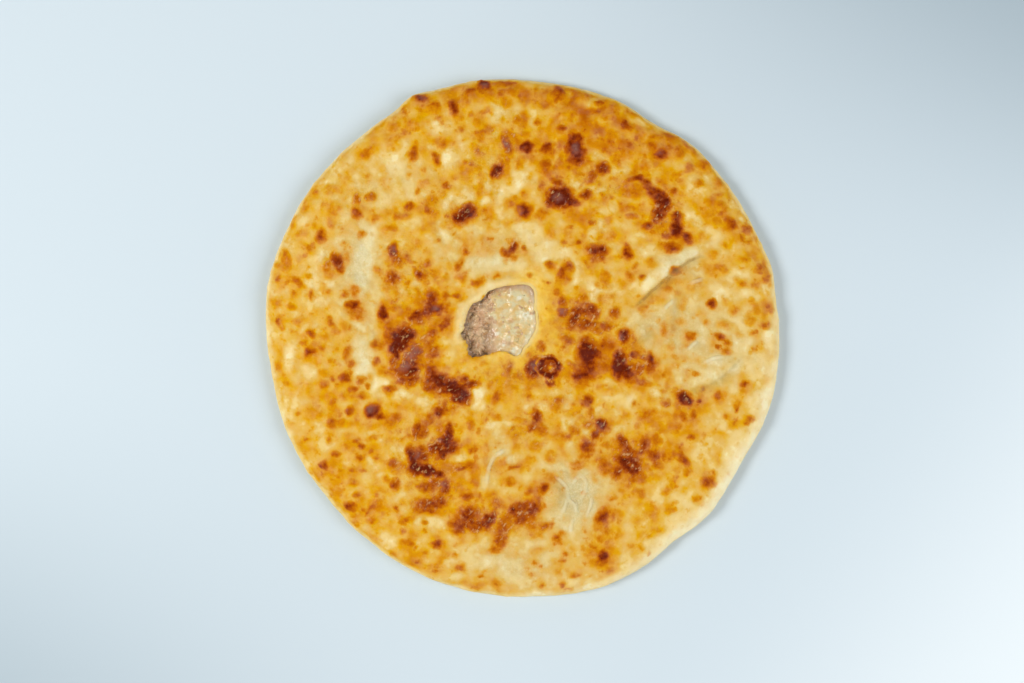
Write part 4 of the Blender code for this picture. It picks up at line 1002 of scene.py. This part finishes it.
class Field:
    """A number, colour or direction that varies over a surface: one socket of a material's nodes."""

    def __init__(self, tree, socket=None):
        self.tree = tree
        self.socket = socket

    def node(self, kind, settings, inputs, output=0):
        """Adds a node: its settings come first, then the values or links of its sockets."""
        added = self.tree.nodes.new(kind)
        for name, value in settings.items():
            if name == "stops":
                ramp = added.color_ramp
                while len(ramp.elements) < len(value):
                    ramp.elements.new(0.5)
                for stop, (position, colour) in zip(ramp.elements, value):
                    stop.position = position
                    stop.color = colour
            else:
                setattr(added, name, value)
        for name, value in inputs.items():
            if isinstance(value, Field):
                self.tree.links.new(value.socket, added.inputs[name])
            else:
                added.inputs[name].default_value = value
        return Field(self.tree, added.outputs[output])

    def maths(self, operation, first, second):
        return self.node("ShaderNodeMath", {"operation": operation}, {0: first, 1: second})

    def __add__(self, other):
        return self.maths("ADD", self, other)

    def __radd__(self, other):
        return self.maths("ADD", other, self)

    def __sub__(self, other):
        return self.maths("SUBTRACT", self, other)

    def __rsub__(self, other):
        return self.maths("SUBTRACT", other, self)

    def __mul__(self, other):
        return self.maths("MULTIPLY", self, other)

    def __rmul__(self, other):
        return self.maths("MULTIPLY", other, self)

    def at_least(self, least):
        """This number, or least where it is lower."""
        return self.maths("MAXIMUM", self, least)

    def step(self, low, high):
        """0 below low, 1 above high, and a smooth ramp between them."""
        settings = {"interpolation_type": "SMOOTHSTEP"}
        return self.node("ShaderNodeMapRange", settings, {0: self, 1: low, 2: high})

    def grain(self, size, detail, rough, offset):
        """Noise from -0.5 to 0.5 at this place, with grains of a size in millimetres."""
        inputs = {"Vector": self, "W": offset, "Scale": 1000.0 / size}
        inputs.update({"Detail": detail, "Roughness": rough})
        return self.node("ShaderNodeTexNoise", {"noise_dimensions": "4D"}, inputs) - 0.5

    def mix(self, share, other):
        """This colour, with a share of another laid over it."""
        return self.node("ShaderNodeMix", {"data_type": "RGBA"}, {0: share, 6: self, 7: other}, 2)


def two_colours(share, first, second):
    """One colour turning into another as the share goes from 0 to 1."""
    colours = {0: share, 6: linear(first), 7: linear(second)}
    return share.node("ShaderNodeMix", {"data_type": "RGBA"}, colours, 2)


def bumped(height):
    """The direction of a surface that is roughened by a height in millimetres."""
    return height.node("ShaderNodeBump", {}, {"Height": height, "Distance": 1.0 * MM})


def new_material(name):
    """A material, its Principled shader, where its other nodes start, and the place on the surface."""
    material = bpy.data.materials.new(name)
    material.use_nodes = True
    tree = material.node_tree
    shader = tree.nodes["Principled BSDF"]
    start = Field(tree)
    place = start.node("ShaderNodeTexCoord", {}, {}, "Object")
    return material, shader, start, place


def wire(shader, inputs):
    """Links varying fields to the shader's sockets and sets the others."""
    for name, value in inputs.items():
        if isinstance(value, Field):
            value.tree.links.new(value.socket, shader.inputs[name])
        else:
            shader.inputs[name].default_value = value


def stored(start, name):
    """A number that was kept for each point."""
    return start.node("ShaderNodeAttribute", {"attribute_name": name}, {}, "Fac")


material, shader, start, place = new_material("baked_dough_crust")
browned = stored(start, "browned")
wet = stored(start, "wet")
off_crack = stored(start, "off_crack")
crack = stored(start, "crack") * (1.0 - (off_crack * off_crack).step(0.0, 1.4))
off_wrinkle = stored(start, "off_wrinkle")
wrinkle = stored(start, "wrinkle") * (1.0 - (off_wrinkle * off_wrinkle).step(0.0, 2.6))

# How far the oven browned each place: mottled all over, least on the rim, and patchy where scorched
cloud = place.grain(9.0, 2.0, 0.5, 1.0)
mottle = place.grain(3.4, 3.0, 0.6, 2.0)
grain = place.grain(1.1, 3.0, 0.65, 3.0)
specks = place.grain(2.2, 2.0, 0.5, 4.0).step(0.12, 0.26)
blotches = place.grain(4.6, 2.0, 0.5, 7.0).step(0.06, 0.22)
calm = 1.0 - 0.7 * stored(start, "rim")
pale = place.grain(6.5, 2.0, 0.5, 9.0).step(0.04, 0.24)
fine = (0.34 * mottle + 0.12 * grain + 0.05 * specks) * (0.60 + 0.70 * wet)
uneven = 0.70 * cloud + fine + 0.17 * blotches - 0.20 * pale + 0.02
heat = browned + calm * (1.0 - browned) * 1.5 * uneven
crisp = place.grain(2.4, 3.0, 0.6, 8.0)
scorch = stored(start, "scorch")
scorch = scorch + scorch.step(0.0, 0.35) * (0.40 * mottle + 0.30 * crisp)
burnt = 0.445 + 0.60 * scorch * (1.0 + 0.35 * crisp + 0.35 * mottle)
heat = heat + scorch.step(0.0, 0.25) * (heat.at_least(burnt) - heat)
pan_baked = 0.42 + 0.9 * place.grain(24.0, 2.0, 0.5, 14.0) + 0.5 * place.grain(6.0, 2.0, 0.5, 15.0)
heat = heat + stored(start, "under") * (pan_baked - heat)

# The browning's colour, with what lies on it or shows through it
stops = [(at, linear(colour)) for at, colour in BROWNING]
colour = start.node("ShaderNodeValToRGB", {"stops": stops}, {"Fac": heat})
veil = place.grain(6.0, 2.0, 0.5, 6.0)
colour = start.node("ShaderNodeHueSaturation", {}, {"Saturation": 1.0 + 0.30 * veil, "Color": colour})
show_through = stored(start, "thin") * (0.72 - heat).step(0.0, 0.34) * (1.0 + 1.2 * mottle)
milky = two_colours(grain.step(-0.1, 0.2), (204, 188, 138), (220, 210, 172))
colour = colour.mix(show_through * 0.85, milky)
butter = stored(start, "butter") * (0.8 - heat).step(0.0, 0.4)
colour = colour.mix(butter * 0.6, linear((243, 198, 76)))
colour = colour.mix(stored(start, "melt") * 0.8, linear((234, 208, 142)))
colour = colour.mix(wrinkle * 0.5, linear((236, 224, 184)))
# Paler cream along the rim's edge, most towards the lower right.
colour = colour.mix(stored(start, "blond") * (0.60 + 0.8 * mottle), linear((252, 243, 208)))
# Painted shade: olive-grey along the foot of each fold.
colour = colour.mix(stored(start, "crease") * (0.42 + 0.8 * mottle), linear((186, 158, 92)))
# The crack is a shallow groove, and its dark line is painted shade.
crack = crack * (1.0 - 0.8 * heat.step(0.60, 0.75))
colour = colour.mix(crack * (0.40 + 1.2 * mottle), linear((150, 106, 50)))

# Painted highlights: wet glints, drawn out a little to one side, and a grey-violet sheen painted on the
# blackest skin
turned = {"Vector": place, "Rotation": (0.0, 0.0, math.radians(GLINT_TURN)), "Scale": (1.7, 1.0, 1.0)}
slanted = start.node("ShaderNodeMapping", {"vector_type": "TEXTURE"}, turned)
painted_glint_beads = wet * slanted.grain(2.0, 2.0, 0.5, 12.0).step(0.04, 0.19) * heat.step(0.46, 0.72)
painted_glint_beads = painted_glint_beads * place.grain(8.0, 1.0, 0.5, 13.0).step(-0.22, 0.10)
# The glints are painted highlights, laid into the colour as pale warm spots over small raised beads.
colour = colour.mix(painted_glint_beads * 0.60, linear((240, 186, 124)))
# Painted sheen: a grey-violet reflection laid into the colour of the blackest skin.
painted_sheen_share = stored(start, "bloom") * heat.step(0.68, 0.86) * (0.55 + 1.6 * crisp + 1.0 * mottle)
colour = colour.mix(painted_sheen_share * 0.6, linear((176, 128, 112)))

gloss = place.grain(5.0, 2.0, 0.5, 5.0).step(-0.1, 0.2)
skin_height = (0.9 * mottle + 0.4 * grain) * (0.7 + 0.6 * wet)
skin_height = skin_height + 0.50 * painted_glint_beads - 0.3 * crack + 0.5 * wrinkle
wire(
    shader,
    {
        "Base Color": colour,
        "Roughness": 0.50 - 0.10 * gloss - 0.08 * heat.step(0.72, 0.95),
        "Specular IOR Level": 0.05,
        "Coat Weight": 0.02 + 0.15 * gloss * (0.4 + 0.8 * wet),
        "Coat Roughness": 0.20,
        "Coat IOR": 1.46,
        "IOR": 1.45,
        "Subsurface Weight": 0.12,
        "Subsurface Radius": (1.0, 0.55, 0.25),
        "Subsurface Scale": 1.6 * MM,
        "Normal": bumped(skin_height),
    },
)
crust.data.materials.append(material)
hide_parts("crust")
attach(crust, "root")

# ---- The filling ----
# Finely chopped cooked chicken with crumbled white cheese, one flat mass that fills the whole pie.
# It shows in the vent, where it has sunk at the left and the cheese has melted up to the right lip.
# Its disc is turned like the crust, and chicken granules and cheese crumbs are set into its top.
GAP = 0.3 * MM
FILLING_STEPS = 288
FILLING_RINGS = 54
FILLING_EDGE = 24.0 * MM  # the finely ringed part of its top, in the turned form
FILLING_HUB = 0.3 * MM  # the ring that closes on the middle of its top
FILLING_TOP = PIE_HEIGHT - DOUGH - GAP
GRANULES = 130
CRUMBS = 14
SPREAD = (30.0 * MM, 27.0 * MM)  # how far from the vent's middle bits are tried across and up
# Bits that can be told apart in the vent: the photograph's pixels across and down, and their size
WHITE_BITS = ((503, 345, 4), (526, 315, 8), (513, 351, 6), (519, 298, 5), (497, 334, 5), (509, 337, 4))
TAN_BITS = ((519, 334, 7), (531, 302, 5), (511, 321, 7), (486, 324, 5), (485, 333, 5), (485, 350, 8))


def filling_section():
    """The filling's section from the middle of its top out to its edge and back along its floor."""
    hollow = list(reversed(hollow_section(GAP)))
    section = [(FILLING_HUB, FILLING_TOP)]
    section += level_run(FILLING_TOP, FILLING_HUB, FILLING_EDGE, FILLING_RINGS)
    section += level_run(FILLING_TOP, FILLING_EDGE, hollow[0][0], 6)
    return section + hollow[1:]


def in_vent(place_x, place_y):
    """Distance from the vent's middle, as a share of the way to its edge."""
    around = np.arctan2(place_y - vent_y, place_x - vent_x)
    edge = outline(VENT_RADIUS, VENT_SWELLS, around)
    return np.hypot(place_x - vent_x, place_y - vent_y) / edge


def bits(place_x, place_y, places):
    """1 in the middle of each of the places, falling off over its size."""
    total = np.zeros_like(place_x)
    for across, down, size in places:
        bit_x, bit_y = seen_at(across, down)
        away = np.hypot(place_x - bit_x, place_y - bit_y)
        away = away + 0.7 * MM * bumps(place_x, place_y, 2.4 * MM, 96.0)
        total += smooth_step(0.62 * size * TOP_PIXEL, 0.25 * size * TOP_PIXEL, away)
    return total


def off_groove(across, up):
    """Distance from the groove, darkened by painted shade, that runs down the vent left of its middle,
    in vent radii.
    """
    return across + 0.25 - 0.15 * up


def filling_height(place_x, place_y):
    """How far the filling's rough top in the vent stands above its level elsewhere."""
    across = (place_x - vent_x) / VENT_RADIUS
    up = (place_y - vent_y) / VENT_RADIUS
    share = in_vent(place_x, place_y)
    melted = smooth_step(0.2, 0.6, across)
    inside = smooth_step(1.10 + 0.04 * melted, 0.88 + 0.06 * melted, share)
    sunk = 1.2 * smooth_step(-0.1, 0.9, across) - 2.8 * smooth_step(0.1, -0.9, across + 0.25 * up)
    sunk = sunk + 0.9 * melted * smooth_step(0.84, 1.0, share)
    coarse = 0.35 + 0.65 * smooth_step(0.05, -0.5, across)
    chunk = 1.1 * bumps(place_x, place_y, 9 * MM, 91.0) + 0.8 * bumps(place_x, place_y, 4.5 * MM, 92.0)
    chunk += 0.8 * coarse * bumps(place_x, place_y, 2.2 * MM, 93.0)
    chunk += 0.45 * coarse * bumps(place_x, place_y, 1.1 * MM, 94.0)
    groove = hump(off_groove(across, up), 0.09) * smooth_step(0.25, -0.1, up)
    raised = 0.35 * bits(place_x, place_y, WHITE_BITS)
    return MM * inside * (sunk + chunk + raised - 1.1 * groove)


filling = turned_piece("pie_filling", filling_section(), FILLING_STEPS)
turned_x, turned_y, level = places_of(filling)
turned_radius = np.hypot(turned_x, turned_y)
x, y, share_out = warped_place(turned_radius, np.arctan2(turned_y, turned_x))
z = level + sheet_relief(x, y, level, share_out)
x = x - middle_x
y = y - middle_y
z = z + filling_height(x, y) * (level > 0.5 * PIE_HEIGHT)
move_points(filling, x, y, z)

# Cheese lies at the right, melted along the right lip. The upper edge is tan with painted shade
# under the lip, and the left edge is dark with painted shadow under the lip and dark gaps.
across = (x - vent_x) / VENT_RADIUS
up = (y - vent_y) / VENT_RADIUS
share = in_vent(x, y)
cheese = smooth_step(-0.30, 0.15, across + 0.25 * up + 0.6 * bumps(x, y, 6 * MM, 95.0))
upper_edge = smooth_step(0.80, 0.98, share) * smooth_step(0.0, 0.4, up - 0.5 * across)
right_edge = smooth_step(0.80, 1.0, share) * smooth_step(0.2, 0.6, across)
# Painted shadow under the left lip.
left_lip_shadow = smooth_step(0.66, 0.92, share) * smooth_step(-0.15, -0.45, across)
pores = bumps(x, y, 2.2 * MM, 93.0) + 0.9 * bumps(1.6 * x, 0.8 * y, 4.5 * MM, 92.0)
pores = (0.30 + 0.60 * left_lip_shadow) * smooth_step(0.0, -0.6, pores) + 0.42 * left_lip_shadow
# Painted shade in the groove.
groove = hump(off_groove(across, up), 0.13) * smooth_step(0.15, -0.2, up)
store(filling, "cheese", cheese * (1.0 - upper_edge))
store(filling, "upper_edge", upper_edge)
store(filling, "white", np.clip(bits(x, y, WHITE_BITS) + 0.35 * right_edge, 0.0, 1.0))
store(filling, "tan", np.clip(bits(x, y, TAN_BITS), 0.0, 1.0))
store(filling, "pores", pores + 0.55 * groove)


def crumb_shapes(name, count, roughness):
    """A few different small lumps, to be copied many times."""
    shapes = []
    for number in range(count):
        bpy.ops.object.select_all(action="DESELECT")
        bpy.ops.mesh.primitive_ico_sphere_add(subdivisions=2, radius=1.0, location=(0.0, 0.0, 0.0))
        shape = bpy.context.object
        shape.name = f"{name}_{number}"
        other_noise = Vector((7.0 * number, 0.0, 0.0))
        for vertex in shape.data.vertices:
            vertex.co *= 1.0 + roughness * noise.noise(vertex.co * 1.4 + other_noise)
        bpy.ops.object.shade_smooth()
        shapes.append(shape)
    return shapes


def scattered(name, shapes, count, likely, smallest, largest, flatness):
    """Copies of the shapes in sizes in millimetres, set into the filling's top as one piece."""
    copies = []
    while len(copies) < count:
        bit_x = np.array([draw.uniform(-SPREAD[0], SPREAD[0]) + vent_x])
        bit_y = np.array([draw.uniform(-SPREAD[1], SPREAD[1]) + vent_y])
        across = (bit_x[0] - vent_x) / VENT_RADIUS
        up = (bit_y[0] - vent_y) / VENT_RADIUS
        if in_vent(bit_x, bit_y)[0] > 0.97 or draw.random() > likely(across, up):
            continue
        size = draw.uniform(smallest, largest) * MM
        top = FILLING_TOP + lump_height(bit_x + middle_x, bit_y + middle_y)[0]
        top += filling_height(bit_x, bit_y)[0]
        shape = draw.choice(shapes)
        copy = shape.copy()
        copy.data = shape.data.copy()
        stretch = draw.uniform(1.0, 1.7)
        angles = draw.uniform(-0.5, 0.5), draw.uniform(-0.5, 0.5), draw.uniform(0.0, 2.0 * math.pi)
        turn = Euler(angles)
        placed = Matrix.Translation((bit_x[0], bit_y[0], top - 0.12 * size))
        scale = Matrix.Diagonal((0.5 * size * stretch, 0.5 * size, 0.5 * size * flatness, 1.0))
        copy.data.transform(placed @ turn.to_matrix().to_4x4() @ scale)
        bpy.context.collection.objects.link(copy)
        copies.append(copy)
    for shape in shapes:
        bpy.data.objects.remove(shape)
    bpy.ops.object.select_all(action="DESELECT")
    for copy in copies:
        copy.select_set(True)
    bpy.context.view_layer.objects.active = copies[0]
    bpy.ops.object.join()
    copies[0].name = name
    return copies[0]


def chicken_likely(across, up):
    """How likely a bit of chicken is to lie there: mostly at the left."""
    return 0.05 + 0.95 * float(smooth_step(0.05, -0.45, across - 0.35 * up))


def cheese_likely(across, up):
    """How likely a crumb of cheese is to lie there: mostly at the right."""
    return 0.04 + 0.96 * float(smooth_step(-0.2, 0.3, across + 0.1 * up))


shapes = crumb_shapes("granule", 5, 0.9)
granules = scattered("chicken_granules", shapes, GRANULES, chicken_likely, 1.1, 2.6, 0.42)
shapes = crumb_shapes("crumb", 4, 0.7)
crumbs = scattered("cheese_crumbs", shapes, CRUMBS, cheese_likely, 1.2, 2.8, 0.30)


def chopped_grains(place):
    """Noise in the sizes of the chunks and of the grains of the chopped filling."""
    return place.grain(4.0, 2.0, 0.5, 1.0), place.grain(1.2, 3.0, 0.6, 2.0)


def fibres(place):
    """Noise as fine as the fibres of the chicken."""
    return place.grain(0.6, 2.0, 0.5, 3.0)


def chicken_colour(chunk, grain):
    """Beige to pinkish brown, with painted shade between the grains."""
    beige = two_colours(chunk.step(-0.2, 0.2), (218, 184, 140), (202, 156, 114))
    return beige.mix(grain.step(0.0, -0.3) * 0.25, linear((142, 108, 68)))


def cheese_colour(chunk, grain):
    """Greenish white curds with yellow butter between them, and painted shade between the grains."""
    pale = two_colours(chunk.step(-0.16, 0.16), (217, 201, 154), (222, 182, 108))
    return pale.mix(grain.step(-0.02, -0.3) * 0.25, linear((182, 156, 106)))


def wire_moist(shader, colour, roughness, coat, coat_roughness, soft, colour_reach, reach, height):
    """A moist finish: a wet coat over soft stuff that lets light in, the reddest light farthest."""
    wire(
        shader,
        {
            "Base Color": colour,
            "Roughness": roughness,
            "Coat Weight": coat,
            "Coat Roughness": coat_roughness,
            "Subsurface Weight": soft,
            "Subsurface Radius": colour_reach,
            "Subsurface Scale": reach,
            "Normal": bumped(height),
        },
    )


# The bits of chicken
material, shader, start, place = new_material("chopped_chicken")
chunk, grain = chopped_grains(place)
wire_moist(
    shader,
    colour=chicken_colour(chunk, grain),
    roughness=0.48 - 0.3 * grain,
    coat=0.35 + 0.8 * chunk,
    coat_roughness=0.14,
    soft=0.12,
    colour_reach=(1.0, 0.5, 0.3),
    reach=1.0 * MM,
    height=0.25 * grain + 0.15 * fibres(place),
)
granules.data.materials.clear()
granules.data.materials.append(material)

# The crumbs of cheese
material, shader, start, place = new_material("white_cheese")
chunk, grain = chopped_grains(place)
wire_moist(
    shader,
    colour=cheese_colour(chunk, grain),
    roughness=0.42 - 0.2 * grain,
    coat=0.5 + 0.8 * chunk,
    coat_roughness=0.12,
    soft=0.2,
    colour_reach=(1.0, 0.8, 0.5),
    reach=1.5 * MM,
    height=0.2 * grain,
)
crumbs.data.materials.clear()
crumbs.data.materials.append(material)

# The mass itself: chicken and cheese run into each other
material, shader, start, place = new_material("chicken_and_cheese_mass")
chunk, grain = chopped_grains(place)
cheese = stored(start, "cheese")
colour = chicken_colour(chunk, grain).mix(cheese, cheese_colour(chunk, grain))
colour = colour.mix(stored(start, "white") * 0.85, linear((232, 224, 196)))
colour = colour.mix(stored(start, "tan") * 0.65, linear((196, 138, 66)))
# Painted shade under the upper lip.
colour = colour.mix(stored(start, "upper_edge") * 0.6, linear((170, 132, 92)))
# Dark gaps between the chicken, with painted shadow under the left lip and painted shade in the groove.
colour = colour.mix(stored(start, "pores") * (0.70 - 0.55 * cheese), linear((106, 78, 42)))
wire_moist(
    shader,
    colour=colour,
    roughness=0.46 - 0.3 * grain,
    coat=0.45 + 0.8 * chunk,
    coat_roughness=0.14,
    soft=0.15,
    colour_reach=(1.0, 0.6, 0.4),
    reach=1.2 * MM,
    height=0.3 * grain + 0.15 * fibres(place),
)
filling.data.materials.append(material)
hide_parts("filling")
for piece in (filling, granules, crumbs):
    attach(piece, "root")

# ---- The floor and the light ----
# A plain pale floor, with painted light that makes it brightest at the lower right and painted
# shade that dulls two corners of the picture. A soft window light stands at the left and a wider one at
# the right, and a pale room fills their shadows.
FLOOR_SIZE = 14.0
FLOOR_DROP = 0.1 * MM  # below the pie's flat underside, so that the two don't lie in one plane

bpy.ops.object.select_all(action="DESELECT")
bpy.ops.mesh.primitive_plane_add(size=FLOOR_SIZE, location=(0.0, 0.0, -FLOOR_DROP))
floor = bpy.context.object
floor.name = "floor"
material, shader, start, place = new_material("pale_floor")
along_x = start.node("ShaderNodeSeparateXYZ", {}, {"Vector": place}, "X")
along_y = start.node("ShaderNodeSeparateXYZ", {}, {"Vector": place}, "Y")
# Painted light brightens the lower right, and painted shade dulls two corners.
painted_light_lower_right = (0.8 * along_x - 0.6 * along_y).step(0.18, 0.42)
pale = two_colours(painted_light_lower_right, (212, 223, 229), (240, 246, 248))
painted_shade_corners = (along_x * along_y + 0.09 * along_y.at_least(0.0)).step(0.0, 0.105)
pale = pale.mix(painted_shade_corners, linear((170, 184, 192)))
from_pie = along_x * along_x + along_y * along_y
pale = pale.mix(from_pie.step(0.16, 0.50), linear((220, 229, 234)))
# Past the lights the floor glows as much as they would light it, so that it stays pale to its end
glow = two_colours(from_pie.step(0.9, 5.0), (0, 0, 0), (182, 190, 196))
wire(shader, {"Base Color": pale, "Roughness": 0.85, "Specular IOR Level": 0.2})
wire(shader, {"Emission Color": glow, "Emission Strength": 1.0})
floor.data.materials.append(material)


def soft_light(name, turn, height, distance, size, power, colour):
    """A square light aimed at the pie, from a direction and a height that are both in degrees."""
    turn = math.radians(turn)
    height = math.radians(height)
    flat = distance * math.cos(height)
    level = distance * math.sin(height)
    place = Vector((flat * math.cos(turn), flat * math.sin(turn), level))
    bpy.ops.object.select_all(action="DESELECT")
    bpy.ops.object.light_add(type="AREA", location=place)
    light = bpy.context.object
    light.name = name
    light.rotation_euler = (-place).to_track_quat("-Z", "Y").to_euler()
    light.data.shape = "SQUARE"
    light.data.size = size
    light.data.energy = power
    light.data.color = colour


soft_light("window", 182.0, 50.0, 1.8, 0.6, 19.3, (0.98, 0.985, 0.96))
soft_light("fill", 345.0, 47.0, 1.8, 1.1, 16.0, (0.95, 0.98, 1.0))

# The room is bright round its walls and dark overhead, so that the wet skin mirrors nothing bright
world = bpy.data.worlds.new("room")
world.use_nodes = True
start = Field(world.node_tree)
way = start.node("ShaderNodeTexCoord", {}, {}, "Generated")
upwards = start.node("ShaderNodeSeparateXYZ", {}, {"Vector": way}, "Z")
shade = start.node(
    "ShaderNodeValToRGB",
    {"stops": ((0.0, (1.0, 1.06, 1.12, 1.0)), (0.9, (0.04, 0.04, 0.045, 1.0)))},
    {"Fac": upwards},
)
wire(world.node_tree.nodes["Background"], {"Color": shade, "Strength": 1.0})
bpy.context.scene.world = world
bpy.context.scene.view_settings.view_transform = "Standard"
